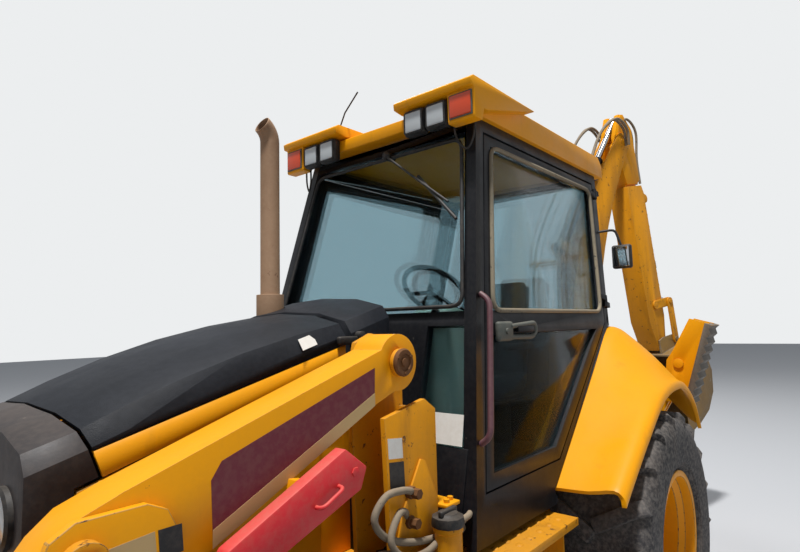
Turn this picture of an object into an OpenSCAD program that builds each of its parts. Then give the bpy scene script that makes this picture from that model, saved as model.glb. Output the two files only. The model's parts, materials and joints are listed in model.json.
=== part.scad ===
// Centre-pivot backhoe loader with an enclosed cab, parked with the loader low and the hoe folded.
// +X is forward, +Y is left, +Z is up, in millimetres.
// Lengths along X are measured from the rear axle, and origin_ahead moves them to the part's origin.

/* [Overall] */
// Rear axle to front axle
wheelbase = 2100; // [2050:10:2200]
// Rear axle forward to the part's origin, halfway between the bucket's lip and the rearmost point
origin_ahead = 754; // [700:1:900]
// Clearance between pieces that turn on a pin
pin_gap = 0.5; // [0.2:0.1:1]
// Side clearance between a moving eye and the plates beside it
side_gap = 0.8; // [0.3:0.1:2]

/* [Wheels] */
// Loaded radius of a rear tyre, over its lugs
rear_r = 630; // [600:5:650]
// Width of a rear tyre
rear_w = 480; // [420:5:500]
// Rear axle's centre to the middle of a rear tyre
rear_half_track = 857; // [850:1:880]
// Loaded radius of a front tyre, over its lugs
front_r = 470; // [440:5:480]
// Width of a front tyre
front_w = 320; // [280:5:340]
// Vehicle's centre to the middle of a front tyre
front_half_track = 947; // [930:1:980]
// Radius of a rear rim's flange
rear_rim_r = 330; // [310:1:340]
// Radius of a front rim's flange
front_rim_r = 250; // [240:1:260]
// Depth of a tyre's lugs
lug_h = 34; // [25:1:45]
// Slant of the lugs to the axle
lug_slant = 30; // [20:1:45]
// Vehicle's centre to a kingpin
kingpin_y = 780; // [760:5:800]
// Radius of a kingpin
kingpin_r = 26; // [20:1:32]

/* [Frame] */
// Vehicle's centre to a frame rail's outer face
rail_y = 360; // [340:5:370]
// Thickness of a frame rail
rail_t = 60; // [40:5:70]
// Underside of the frame rails
rail_z = 740; // [730:5:760]
// Height of the frame rails
rail_h = 190; // [180:10:240]
// Rear axle to the frame rails' front end
rail_front = 2400; // [2350:10:2450]
// Rear axle back to the swing axis
swing_back = 1086; // [1060:1:1110]

/* [Hood] */
// Half the width of the hood
hood_y = 400; // [380:5:410]
// Rear edge of the hood
hood_rear = 1665; // [1640:5:1700]
// Front edge of the hood
hood_front = 2560; // [2500:5:2600]
// Top of the hood at its rear edge, on the centre line
hood_rear_z = 1795; // [1770:5:1820]
// Slope of the hood down towards the nose, in degrees
hood_slope = 16; // [12:0.5:18]
// Thickness of the hood's skin
hood_t = 12; // [6:1:20]

/* [Cab] */
// Half the width of the cab at its base
cab_y = 763; // [740:1:780]
// Inward lean of the cab's sides, in degrees
cab_lean = 6.4; // [4:0.1:8]
// Backward rake of the windscreen, in degrees
cab_rake = 13.4; // [10:0.1:15]
// Foot of the windscreen pillars
cab_front = 1390; // [1370:5:1400]
// Underside of the cab's sill
cab_z = 930; // [920:5:960]
// Top of the cab's frame
cab_top = 2690; // [2650:5:2720]
// Depth of a cab post
post = 60; // [50:1:80]
// Thickness of a cab side or a door
wall = 45; // [30:1:60]
// Thickness of a pane
pane = 8; // [5:1:10]
// Gap round a door
door_gap = 7; // [5:0.5:12]

/* [Loader] */
// Arm pivot, height
lift_z = 1612; // [1600:1:1620]
// Arm pivot, ahead of the rear axle
lift_x = 1670; // [1660:1:1680]
// Bucket hinge at rest, ahead of the rear axle
tip_x = 3380; // [3340:5:3420]
// Bucket hinge at rest, height
tip_z = 300; // [280:5:330]
// Inner face of a loader arm
arm_y = 530; // [520:5:540]
// Thickness of a loader arm
arm_t = 130; // [110:5:140]
// Half the width of the loader bucket
bucket_y = 1150; // [1130:5:1180]
// Thickness of the loader bucket's plates
plate = 16; // [10:1:20]

/* [Hoe] */
// Turn of the hoe to the left of straight back at rest, in degrees
swing_rest = 16; // [0:1:20]
// Half the width of the boom
boom_y = 95; // [80:5:110]
// Half the width of the stick
stick_y = 75; // [60:5:85]
// Half the width of the hoe's bucket
hoe_y = 305; // [300:5:380]
// Reach of the stick's extension
extend = 1000; // [800:10:1100]

/* [Stabilisers] */
// Vehicle's centre to a stabiliser's hinge
leg_y = 420; // [400:5:440]
// Height of a stabiliser's hinge
leg_z = 700; // [660:5:740]

/* [Hidden] */

smooth = 48;
pin_r = 30;

// Swing axis, boom foot, boom's control point and boom tip, in the plane of the hoe
swing_x = -swing_back;
boom_foot = [swing_x - 294, 690];
boom_bend = [swing_x + 26, 2060];
boom_tip = [swing_x - 860, 3330];
boom_base = [swing_x - 194, 980];
boom_eye = [swing_x - 200, 2020];
stick_base = [swing_x - 54, 2340];
stick_eye = [boom_tip.x - 20, boom_tip.y + 229];
// Directions along the stick, towards its bucket, and out of its rear
along = [-0.172, -0.985];
across = [-0.985, 0.172];
function hoe(u, w) = boom_tip + u * along + w * across;
hinge_u = 1850;
rocker_u = 1500;
rocker_w = 75;
rocker_len = 200;
hoe_hinge = hoe(hinge_u, rocker_w);
crowd_base = hoe(520, 250);
crowd_eye = hoe(rocker_u, rocker_w + rocker_len);

// Loader points in a side view
lift = [lift_x, lift_z];
tip = [tip_x, tip_z];
cyl_base = [1600, 920];
cyl_eye = [2480, 1120];
lever = [2600, 1120];
lever_offset = [49, 173];
tilt_base = [1880, 1400];
tilt_eye = lever + [-58, 160];
bucket_pin = tip + lever_offset;
tube_at = [2950, 950];

// Stabiliser points in a rear view, as distance from the middle and height
leg_hinge = [350, 420];
leg_foot = [930, 1450];
leg_base = [70, 1200];
leg_lug = [537, 751];
leg_x = -850;

tow_r = 22;
tow_t = 30;
tow_wide = 60;
tow_at = [rail_front + 55, 0, rail_z - 15];
tie_at = [-590, 335, 385];
// Rear axle back to the rear frame's front face
rear_box = -640;

// Moves a piece from the rear axle's frame to the part's own
module placed() { translate([-origin_ahead, 0, 0]) children(); }

// Turns a piece of the hoe about the swing axis, to its place at rest
module swung() {
    placed() translate([swing_x, 0, 0]) rotate([0, 0, -swing_rest]) translate([-swing_x, 0, 0]) children();
}

// A copy on each side of the vehicle
module both() { children(); mirror([0, 1, 0]) children(); }

// A plate with a side outline, from y to y + t
module side_plate(outline, y, t) {
    translate([0, y + t, 0]) rotate([90, 0, 0]) linear_extrude(t) polygon(outline);
}

// A round bar across the vehicle at a point of the side view
module cross_bar(p, r, y, len) {
    translate([p.x, y, p.y]) rotate([-90, 0, 0]) cylinder(h = len, r = r, $fn = smooth);
}

// Turns its children so that their +X runs from a to b in the side view
module aim(a, b, y = 0) {
    translate([a.x, y, a.y]) rotate([0, -atan2(b.y - a.y, b.x - a.x), 0]) children();
}

// A flat bar with round ends between two pins, bored at both
module strap(a, b, w, y, t, bore = 0) {
    turn = atan2(b.y - a.y, b.x - a.x);
    around_b = [for (i = [-6 : 6]) b + w / 2 * [cos(turn + i * 15), sin(turn + i * 15)]];
    around_a = [for (i = [6 : 18]) a + w / 2 * [cos(turn + i * 15), sin(turn + i * 15)]];
    difference() {
        side_plate(concat(around_b, around_a), y, t);
        if (bore > 0) {
            cross_bar(a, bore, y - 1, t + 2);
            cross_bar(b, bore, y - 1, t + 2);
        }
    }
}

// A cylinder's tube with a gland at its mouth and a bored eye at its base
module barrel(a, b, len, r, rod_r, eye_r, y, w) {
    aim(a, b, y) difference() {
        union() {
            rotate([90, 0, 0]) cylinder(h = w, r = eye_r, center = true, $fn = smooth);
            translate([0, -w / 2, -eye_r * 0.7]) cube([eye_r + 20, w, eye_r * 1.4]);
            translate([eye_r + 8, 0, 0]) rotate([0, 90, 0]) cylinder(h = len - eye_r - 8, r = r, $fn = smooth);
            translate([len - 60, 0, 0]) rotate([0, 90, 0]) cylinder(h = 60, r = r + 4, $fn = smooth);
        }
        rotate([90, 0, 0]) cylinder(h = w + r * 4, r = pin_r * 0.8 + pin_gap, center = true, $fn = smooth);
        translate([eye_r + 26, 0, 0]) rotate([0, 90, 0]) cylinder(h = len, r = rod_r + pin_gap, $fn = smooth);
    }
}

// A cylinder's rod with its eye
module rod(a, b, back, rod_r, eye_r, y, w) {
    aim(b, a, y) {
        rotate([90, 0, 0]) cylinder(h = w, r = eye_r, center = true, $fn = smooth);
        rotate([0, 90, 0]) cylinder(h = back, r = rod_r, $fn = smooth);
    }
}

// Two rails, their cross members, the loader towers, the rear frame and the swing lugs
module tower() {
    web = 20;
    inner = arm_y - side_gap - web;
    outer = arm_y + arm_t + side_gap;
    outline = [[1500, 800], [1730, 800], [1745, 960], [1770, 1560], [1740, 1680], [1660, 1710],
        [1590, 1690], [1500, 1500]];
    low_outline = [[1500, 800], [1730, 800], [1745, 960], [1768, 1440], [1560, 1480], [1500, 1440]];
    side_plate(outline, inner, web);
    side_plate(low_outline, outer, web);
    translate([1500, inner, 800]) cube([web, outer - inner + web, 640]);
    translate([1500, inner, 800]) cube([230, outer - inner + web, web]);
    translate([1500, rail_y + 0.3, 800]) cube([240, inner - rail_y - 0.3, 130]);
    // Pivot pin with its head outside the arm
    cross_bar(lift, pin_r + 8, inner - 12, outer - inner + 16);
    cross_bar(lift, pin_r + 16, outer, 16);
    cross_bar(cyl_base, pin_r * 0.8, inner, outer - inner + web);
}

gearbox_y = 200;
module chassis_frame() color("goldenrod") placed() {
    both() {
        translate([rear_box + 0.3, rail_y - rail_t, rail_z]) cube([rail_front - rear_box - 0.3, rail_t, rail_h]);
        tower();
    }
    inside = 2 * (rail_y - rail_t);
    for (x = [600, 1720, 2220])
        translate([x, -inside / 2, rail_z]) cube([80, inside, 60]);
    both() translate([1500, gearbox_y + 0.3, rail_z]) cube([80, rail_y - rail_t - gearbox_y, 60]);
    // Cradle over the front axle
    difference() {
        translate([wheelbase - 130, -rail_y, front_r + 80.3]) cube([260, 2 * rail_y, rail_z - front_r - 80.3]);
        cross_bar([wheelbase, front_r], 124, -140, 260);
    }
    // Tow plate under the nose
    difference() {
        translate([rail_front - 60, -tow_wide, tow_at.z - tow_t / 2]) cube([160, 2 * tow_wide, tow_t]);
        translate([tow_at.x, tow_at.y, tow_at.z - tow_t]) cylinder(h = 2 * tow_t, r = tow_r, $fn = smooth);
    }
    translate([rail_front - 60, -rail_y + 5, rail_z - 2]) cube([60, 2 * rail_y - 10, 62]);
    // Rear axle's seats
    both() translate([-90, rail_y - rail_t, rear_r + 95 + 0.3]) cube([180, rail_t, rail_z - rear_r - 95.3]);
    rear_frame();
}

lug_r = 105;
module rear_frame() {
    box_x = rear_box - 150;
    lugs_x = box_x - 0.3;
    pin_len = lugs_x + 930;
    // Tie-down plates
    both() difference() {
        translate([rear_box + 0.3, tie_at.y - 45, tie_at.z - tow_t / 2]) cube([94.7, 90, tow_t]);
        translate([tie_at.x, tie_at.y, tie_at.z - tow_t]) cylinder(h = 2 * tow_t, r = tow_r, $fn = smooth);
    }
    translate([box_x, -380, 420]) cube([150, 760, 540]);
    translate([box_x, -150, 960]) cube([90, 300, 310]);
    both() translate([box_x, leg_hinge.x, leg_hinge.y]) rotate([0, 90, 0]) cylinder(h = 150, r = 80, $fn = smooth);
    // Swing lugs, bolted to the box, with the plates and pins of the stabilisers
    for (z = [440, 960]) {
        translate([swing_x, -lug_r, z]) cube([lugs_x - swing_x, 2 * lug_r, 60]);
        translate([swing_x, 0, z]) cylinder(h = 60, r = lug_r, $fn = smooth);
    }
    translate([-930, -430, 340]) cube([25, 860, 160]);
    translate([-930, -240, 440]) cube([pin_len, 480, 60]);
    translate([-930, -100, 1020]) cube([25, 200, 250]);
    both() {
        translate([-930, leg_hinge.x, leg_hinge.y]) rotate([0, 90, 0]) cylinder(h = pin_len, r = pin_r, $fn = smooth);
        translate([-930, leg_base.x, leg_base.y]) rotate([0, 90, 0]) cylinder(h = pin_len, r = 20, $fn = smooth);
    }
    translate([swing_x, 0, 430]) cylinder(h = 600, r = 45, $fn = smooth);
}

module engine_block() color("dimgray") placed() {
    translate([1680, -230, rail_z + 60.3]) cube([640, 460, 560]);
    translate([900, -gearbox_y, 620]) cube([780, 2 * gearbox_y, 290]);
    translate([600, 0, rear_r + 20]) rotate([0, 90, 0]) cylinder(h = 300, r = 40, $fn = smooth);
    translate([1680, 0, 640]) rotate([0, 90, 0]) cylinder(h = 100, r = 40, $fn = smooth);
}

exhaust_at = [1555, -210];
exhaust_r = 44;
exhaust_top = 2744;
shelf_z = 1660;

// Hood and nose share this outline over their whole length
hood_end_z = hood_rear_z - (hood_front - hood_rear) * tan(hood_slope);
nose_front = hood_front + 110;
function hood_top(x) = hood_rear_z - (x - hood_rear) * tan(hood_slope);
hood_pin = [hood_rear - 8, hood_rear_z - 22];
cowl_t = 14;

// The crowned cross-section of the hood, its top edge at zero, with its sides down by depth
module hood_section(inset, depth) {
    crown = 90;
    side = hood_y - inset;
    polygon([[-side, -depth], [-side, -crown], [-side + 35, -crown / 2], [-side * 0.55, -12 - inset / 2],
        [0, -inset], [side * 0.55, -12 - inset / 2], [side - 35, -crown / 2], [side, -crown], [side, -depth]]);
}

// The section run along the hood's slope, from x0 to x1, cut off square at its ends
module hood_form(inset, depth, x0, x1) {
    intersection() {
        translate([hood_rear, 0, hood_rear_z]) rotate([0, hood_slope, 0]) translate([-300, 0, 0])
            rotate([90, 0, 90]) linear_extrude(1700) hood_section(inset, depth);
        translate([x0, -hood_y - 1, 600]) cube([x1 - x0, 2 * hood_y + 2, 1400]);
    }
}

// Stations of the hood from front to rear: place, and rise of its crown over the straight line
hood_table = [[hood_front, 0], [2440, 20], [2280, 36], [2080, 40], [1860, 26], [hood_rear, 0]];
steep = 1 / cos(hood_slope);
// One half of a cross-section: place across, drop, and share of the rise, for the skin set in by t
function hood_half(t) = [[hood_y - t, -170 * steep, 0], [hood_y - t, -90 * steep - t * 0.4, 0.3],
    [hood_y - 35 - t * 0.6, -45 * steep - t * 0.8, 0.75], [hood_y * 0.55, -12 * steep - t, 1]];
function hood_side(x, rise, t, side, flip) = let (half = hood_half(t), n = len(half) - 1)
    [for (i = [0 : n]) let (p = half[flip ? i : n - i]) [x, side * p.x, hood_top(x) + p.y + rise * p.z]];
function hood_station(x, rise) = concat(hood_side(x, rise, 0, -1, true), [[x, 0, hood_top(x) + rise]],
    hood_side(x, rise, 0, 1, false), hood_side(x, rise, hood_t, 1, true),
    [[x, 0, hood_top(x) + rise - hood_t]], hood_side(x, rise, hood_t, -1, false));
corner_cut = 20;

// Everything in front of the hood's front edge, which leans back so that its corners clear the nose
module before_hood(gap, back) {
    translate([hood_front + gap, -500, hood_end_z + 4]) rotate([0, corner_cut, 0])
        translate([back ? -300 : 0, 0, -400]) cube([300, 1000, back ? 460 : 400]);
}

module hood() color([0.08, 0.08, 0.08]) placed() {
    difference() {
        loft([for (row = hood_table) hood_station(row[0], row[1])]);
        before_hood(0, false);
    }
    // Hinge barrels at the rear edge
    for (y = [-230, 190]) difference() {
        union() {
            cross_bar(hood_pin, 9, y, 40);
            translate([hood_pin.x, y + 1, hood_pin.y - 17]) cube([74, 38, 12]);
        }
        cross_bar(hood_pin, 5 + pin_gap, y - 1, 42);
    }
}

module nose() color([0.16, 0.13, 0.11]) placed() {
    bar_pitch = 60;
    difference() {
        hood_form(0, 700, hood_front + 6, nose_front);
        translate([nose_front - 40, -300, 900]) cube([100, 600, 330]);
        translate([2000, -500, 0]) cube([1000, 1000, 830]);
    }
    for (y = [-270 : bar_pitch : 270])
        translate([nose_front - 30, y - 5, 900]) cube([14, 10, 330]);
    translate([rail_front, -rail_y + 40, 830]) cube([hood_front + 6 - rail_front, 2 * rail_y - 80, 110]);
    // Cheeks in front of the hood's corners
    difference() {
        hood_form(0, 165, hood_front - 80, hood_front + 12);
        hood_form(hood_t + 2, 400, 0, hood_front + 40);
        before_hood(10, true);
    }
}

module side_panels() color("gold") placed() {
    both() difference() {
        intersection() {
            translate([hood_rear + 130, hood_y - 14, rail_z + rail_h]) cube([hood_front - hood_rear - 130, 14, 900]);
            hood_form(0, 1400, hood_rear + 130, hood_front);
        }
        hood_form(-5, 176, hood_rear - 10, hood_front + 10);
    }
    // Rear ends, set in behind the hood's sides, from the cowl to the panels
    tail_y = hood_y - 34;
    low = rail_z + rail_h + 2;
    both() {
        side_plate([[hood_rear - 30, low], [hood_rear + 165, low], [hood_rear + 165, 1560],
            [hood_rear - 30, 1608]], tail_y, 14);
        translate([hood_rear + 137, tail_y + 1, low + 3]) cube([24, 24, 590]);
    }
}

// Cowl between the hood and the cab, with the exhaust's opening and the hood's hinge lugs
module cowl() color([0.08, 0.08, 0.08]) placed() {
    cowl_front = hood_rear - 30;
    floor_z = rail_z + rail_h;
    difference() {
        hood_form(0, 900, cab_front + 30, cowl_front);
        hood_form(cowl_t, 1000, cab_front + 30 + cowl_t, cowl_front - cowl_t);
        translate([0, -500, 0]) cube([2000, 1000, floor_z]);
        translate([exhaust_at.x, exhaust_at.y, 1500]) cylinder(h = 600, r = exhaust_r + 24, $fn = smooth);
        translate([cowl_front - 2 * cowl_t, -260, floor_z - 1]) cube([4 * cowl_t, 520, 1440 - floor_z]);
    }
    both() for (y = [182, 230.8]) {
        translate([cowl_front - 4, y, hood_pin.y - 6]) cube([hood_pin.x - cowl_front + 4, 7.2, 12]);
        cross_bar(hood_pin, 7, y, 7.2);
    }
    both() cross_bar(hood_pin, 5, 182, 56);
    // Shelf under the exhaust
    translate([exhaust_at.x - 80, -hood_y + 5, shelf_z - 10]) cube([cowl_front - exhaust_at.x + 76, 300, 10]);
}

// Axle beam with a yoke and a kingpin at each end, and the steering cylinder's body
steer_back = 140;
steer_z = front_r + 36;
yoke = 85;

module front_axle() {
    at = [wheelbase, front_r];
    inner = kingpin_y - 120;
    cross_bar(at, 80, -inner, 2 * inner);
    cross_bar(at, 118, -130, 240);
    both() {
        translate([wheelbase - 50, inner, front_r - yoke - 30]) cube([100, 40, 2 * yoke + 60]);
        for (z = [-yoke - 30, yoke]) {
            translate([wheelbase - 50, inner, front_r + z]) cube([100, 120, 30]);
            translate([wheelbase, kingpin_y, front_r + z]) cylinder(h = 30, r = 50, $fn = smooth);
        }
        translate([wheelbase, kingpin_y, front_r - yoke - 30])
            cylinder(h = 2 * yoke + 60, r = kingpin_r, $fn = smooth);
    }
    difference() {
        union() {
            cross_bar([wheelbase - steer_back, steer_z], 36, -190, 380);
            both() translate([wheelbase - steer_back, 150, steer_z - 10]) cube([steer_back - 40, 30, 20]);
        }
        cross_bar([wheelbase - steer_back, steer_z], 18 + pin_gap, -200, 400);
    }
}

module steering_rod() color("silver") placed() {
    reach = kingpin_y - 5;
    cross_bar([wheelbase - steer_back, steer_z], 18, -reach, 2 * reach);
    both() translate([wheelbase - steer_back, reach, steer_z - 19]) cylinder(h = 40, r = 26, $fn = smooth);
}

module knuckle() {
    difference() {
        union() {
            translate([wheelbase, kingpin_y, front_r - yoke + side_gap])
                cylinder(h = 2 * (yoke - side_gap), r = 44, $fn = smooth);
            cross_bar([wheelbase, front_r], 43, kingpin_y, front_half_track + 80 - kingpin_y);
            translate([wheelbase - steer_back, kingpin_y - 25, front_r - 18]) cube([steer_back, 40, 34]);
            translate([wheelbase - steer_back, kingpin_y - 5, front_r - 18]) cylinder(h = 34, r = 24, $fn = smooth);
        }
        translate([wheelbase, kingpin_y, 0])
            cylinder(h = 1000, r = kingpin_r + pin_gap, $fn = smooth);
    }
}

module knuckle_left() color("goldenrod") placed() knuckle();
module knuckle_right() color("goldenrod") placed() mirror([0, 1, 0]) knuckle();

module rear_axle() {
    at = [0, rear_r];
    cross_bar(at, 95, -590, 1180);
    cross_bar(at, 185, -150, 300);
    both() {
        cross_bar(at, 130, 560, 60);
        cross_bar(at, 60, 600, rear_half_track + 10 - 600);
    }
}

module axles() color("goldenrod") placed() {
    front_axle();
    rear_axle();
}

// A tyre's section turned round the axle, its beads between the rim's flanges, and its two rows of lugs
module tyre(radius, width, bead, flange, bead_w, lugs, lug_w) {
    half = width / 2;
    base = radius - lug_h;
    rotate([-90, 0, 0]) rotate_extrude($fn = 60) polygon([
        [bead + 0.3, -bead_w], [flange + 5, -bead_w], [flange + 55, -half], [base - 60, -half],
        [base, -half * 0.8], [base, half * 0.8],
        [base - 60, half], [flange + 55, half], [flange + 5, bead_w], [bead + 0.3, bead_w]]);
    // Along a lug: its inner end, the end of its top and its outer end
    inner = -8;
    outer = (half - 3 - lug_w / 2 * sin(lug_slant)) / cos(lug_slant);
    crown = outer - 28;
    reach = (crown - inner) * sin(lug_slant) / 2 + lug_w / 2 * cos(lug_slant);
    top = sqrt(radius * radius - reach * reach);
    lug = [[inner, base - 30], [inner, top], [crown, top], [outer, top - 30], [outer, base - 75]];
    // One corner of a lug is the lowest point
    for (side = [1, -1]) for (i = [0 : lugs - 1])
        rotate([0, i * 360 / lugs + side * asin(reach / radius), 0])
            translate([side * (crown + inner) * sin(lug_slant) / 2, 0, 0])
                rotate([0, 0, side > 0 ? lug_slant : 180 - lug_slant])
                    rotate([90, 0, 90]) translate([0, 0, -lug_w / 2]) linear_extrude(lug_w) polygon(lug);
}

// A rim's section: flanges, bead seats, well, disc and hub
module rim(flange, half, disc_y, bore, hub_r, hub_back, hub_front) {
    bead = flange - 22;
    well = flange - 48;
    skin = 9;
    rotate([-90, 0, 0]) rotate_extrude($fn = 96) union() {
        polygon([[flange, -half], [flange, -half + skin], [bead, -half + skin], [bead, -half + 50], [well, -half + 75],
            [well, half - 75], [bead, half - 50], [bead, half - skin], [flange, half - skin], [flange, half],
            [bead - skin, half], [bead - skin, half - 50], [well - skin, half - 78],
            [well - skin, -half + 78], [bead - skin, -half + 50], [bead - skin, -half]]);
        polygon([[hub_r - 1, disc_y], [well - 4, disc_y], [well - 4, disc_y + 14], [hub_r - 1, disc_y + 14]]);
        polygon([[bore, hub_back], [hub_r, hub_back], [hub_r, hub_front], [bore, hub_front]]);
    }
}

module at_front(side) { placed() translate([wheelbase, side * front_half_track, front_r]) children(); }
module at_rear(side) { placed() translate([0, side * rear_half_track, rear_r]) children(); }
front_half = 148;
rear_half = 216;
module front_tyre() { tyre(front_r, front_w, front_rim_r - 22, front_rim_r, front_half - 9.5, 15, 50); }
module rear_tyre() { tyre(rear_r, rear_w, rear_rim_r - 22, rear_rim_r, rear_half - 9.5, 18, 66); }
module front_rim() { rim(front_rim_r, front_half, 30, 43 + pin_gap, 75, -40, 90); }
module rear_rim() { rim(rear_rim_r, rear_half, -60, 60 + pin_gap, 110, -140, 20); }

module front_tyre_left() color([0.1, 0.1, 0.1]) at_front(1) front_tyre();
module front_tyre_right() color([0.1, 0.1, 0.1]) at_front(-1) mirror([0, 1, 0]) front_tyre();
module front_rim_left() color("gold") at_front(1) front_rim();
module front_rim_right() color("gold") at_front(-1) mirror([0, 1, 0]) front_rim();
module rear_tyre_left() color([0.1, 0.1, 0.1]) at_rear(1) rear_tyre();
module rear_tyre_right() color([0.1, 0.1, 0.1]) at_rear(-1) mirror([0, 1, 0]) rear_tyre();
module rear_rim_left() color("gold") at_rear(1) rear_rim();
module rear_rim_right() color("gold") at_rear(-1) mirror([0, 1, 0]) rear_rim();

// The slanted line where the fender meets the cab and the door
fender_low = [705, 1000];
fender_high = [-244, 1685];
tub_y = 592;
line_rise = (fender_high.y - fender_low.y) / (fender_low.x - fender_high.x);
// Slanted line raised by up, as a height at x
function slant_z(x, up) = fender_low.y + (fender_low.x - x) * line_rise + up;
function slant_x(z, up) = fender_low.x - (z - up - fender_low.y) / line_rise;

fender_out = 1060;
fender_skin = 22;
// Stations of a fender from front to rear: place, inner height, outer height
fender_table = [[fender_low.x + 10, 992, 1012], [600, slant_z(600, -1), 1082], [350, slant_z(350, -1), 1225],
    [50, slant_z(50, -1), 1372], [fender_high.x, 1684, 1402], [-420, 1662, 1362], [-570, 1575, 1262],
    [-670, 1400, 1120]];

// One cross-section of a fender: over the top, down the lip and back along the underside
function fender_section(x, inner, outer) = let (fall = inner - outer, t = fender_skin)
    [[x, tub_y, inner], [x, 700, inner], [x, 780, inner - fall * 0.18], [x, 900, inner - fall * 0.55],
        [x, fender_out - 50, outer + 12], [x, fender_out - 8, outer - 14], [x, fender_out, outer - 50],
        [x, fender_out - 14, outer - 50], [x, fender_out - 26, outer - 24], [x, fender_out - 70, outer - 8],
        [x, 890, inner - fall * 0.55 - t], [x, 775, inner - fall * 0.18 - t], [x, 695, inner - t],
        [x, tub_y, inner - t]];

// A closed skin over a row of thin sections: out along one face and back along the other, in equal steps
module loft(sections) {
    n = len(sections[0]);
    last = len(sections) - 1;
    end = [for (j = [0 : n / 2 - 2]) [j, j + 1, n - 2 - j, n - 1 - j]];
    polyhedron(
        points = [for (section = sections) for (p = section) p],
        faces = concat(end, [for (quad = end) [for (i = [3 : -1 : 0]) last * n + quad[i]]],
            [for (i = [0 : last - 1]) for (j = [0 : n - 1]) let (k = (j + 1) % n)
                each [[i * n + j, (i + 1) * n + j, i * n + k], [i * n + k, (i + 1) * n + j, (i + 1) * n + k]]]));
}

module fender() { loft([for (row = fender_table) fender_section(row[0], row[1], row[2])]); }

module fenders() color("gold") placed() both() fender();

// Local frame of the cab's leaning left side: X forward, Z up the side, Y outward
module cab_side() { translate([0, cab_y, cab_z]) rotate([cab_lean, 0, 0]) children(); }
// Points of a side view laid on the leaning side
function on_side(outline) = [for (p = outline) [p.x, (p.y - cab_z) / cos(cab_lean)]];
// Front and rear lines of the cab in a side view
rear_foot = -285;
rear_z = 1700;
rear_rake = 11.1;
function pillar_x(z) = cab_front - (z - cab_z) * tan(cab_rake);
function rear_x(z) = rear_foot - (z - rear_z) * tan(rear_rake);
function side_y(z) = cab_y - (z - cab_z) * tan(cab_lean);
sill_z = 1100;
head_z = cab_top - post;

side_outer = [[cab_front, cab_z], [pillar_x(cab_top), cab_top], [rear_x(cab_top), cab_top],
    [rear_foot, rear_z + 6], [fender_high.x, slant_z(fender_high.x, 9)], [slant_x(cab_z + 60, 9), cab_z + 60],
    [slant_x(cab_z + 60, 9), cab_z]];
// The doorway, set in by inset all round
function doorway(inset) = let (p = post + 2 + inset, up = 52 + inset * 1.23)
    [[pillar_x(sill_z + inset) - p, sill_z + inset], [pillar_x(head_z - inset * 1.8) - p, head_z - inset * 1.8],
        [rear_x(head_z - inset * 1.8) + p, head_z - inset * 1.8],
        [rear_x(slant_z(rear_foot + p, up)) + p, slant_z(rear_foot + p, up)],
        [slant_x(sill_z + inset, up), sill_z + inset]];
rail_low = 1690;
rail_high = 1790;
frame_w = 62;
function upper_light(inset) = let (p = post + 2 + inset) [[pillar_x(rail_high) - p, rail_high],
    [pillar_x(head_z - inset) - p, head_z - inset], [rear_x(head_z - inset) + p, head_z - inset],
    [rear_x(rail_high) + p, rail_high]];
function lower_light(inset) = let (p = post + 2 + inset, up = 52 + inset * 1.23)
    [[pillar_x(sill_z + inset) - p, sill_z + inset], [pillar_x(rail_low) - p, rail_low],
        [slant_x(rail_low, up), rail_low], [slant_x(sill_z + inset, up), sill_z + inset]];

module side_slab(outline, depth, t) { side_plate(on_side(outline), -depth - t, t); }

// A slab in the windscreen's plane, its outline across and up the slope
module screen_slab(outline, depth, t) {
    translate([cab_front, 0, cab_z]) rotate([0, -cab_rake, 0]) translate([-depth - t, 0, 0])
        rotate([90, 0, 90]) linear_extrude(t) polygon([for (p = outline) [p.x, (p.y - cab_z) / cos(cab_rake)]]);
}

module rear_slab(outline, depth, t) {
    translate([rear_foot, 0, rear_z]) rotate([0, -rear_rake, 0]) translate([depth, 0, 0])
        rotate([90, 0, 90]) linear_extrude(t) polygon([for (p = outline) [p.x, (p.y - rear_z) / cos(rear_rake)]]);
}

// A symmetric trapezoid between two heights, set in from the cab's sides
function trapezoid(z0, z1, inset) = [[-side_y(z0) + inset, z0], [side_y(z0) - inset, z0],
    [side_y(z1) - inset, z1], [-side_y(z1) + inset, z1]];
cowl_z = 1790;
pane_y = hood_y + 25;
function front_light(inset) = trapezoid(cowl_z + inset, head_z - inset, post + inset);
function foot_light(inset) = [[pane_y + inset, 1010 + inset], [side_y(1010) - post - inset, 1010 + inset],
    [side_y(1730) - post - inset, 1730 - inset], [pane_y + inset, 1730 - inset]];
function rear_light(inset) = trapezoid(rear_z + 90 + inset, head_z - inset, post + inset);

// A hinge knuckle on a door's axis, its leaf towards the post or the door
hinge_at = [-232.8, 14, 825.14];
hinge_turn = 11.03;
module door_knuckle(up, leaf) {
    translate(hinge_at) rotate([0, -hinge_turn, 0]) translate([0, 0, up]) {
        cylinder(h = 34, r = 12.5, $fn = smooth);
        translate([leaf < 0 ? leaf : 0, -19, 2]) cube([abs(leaf), 27, 30]);
    }
}

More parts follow.
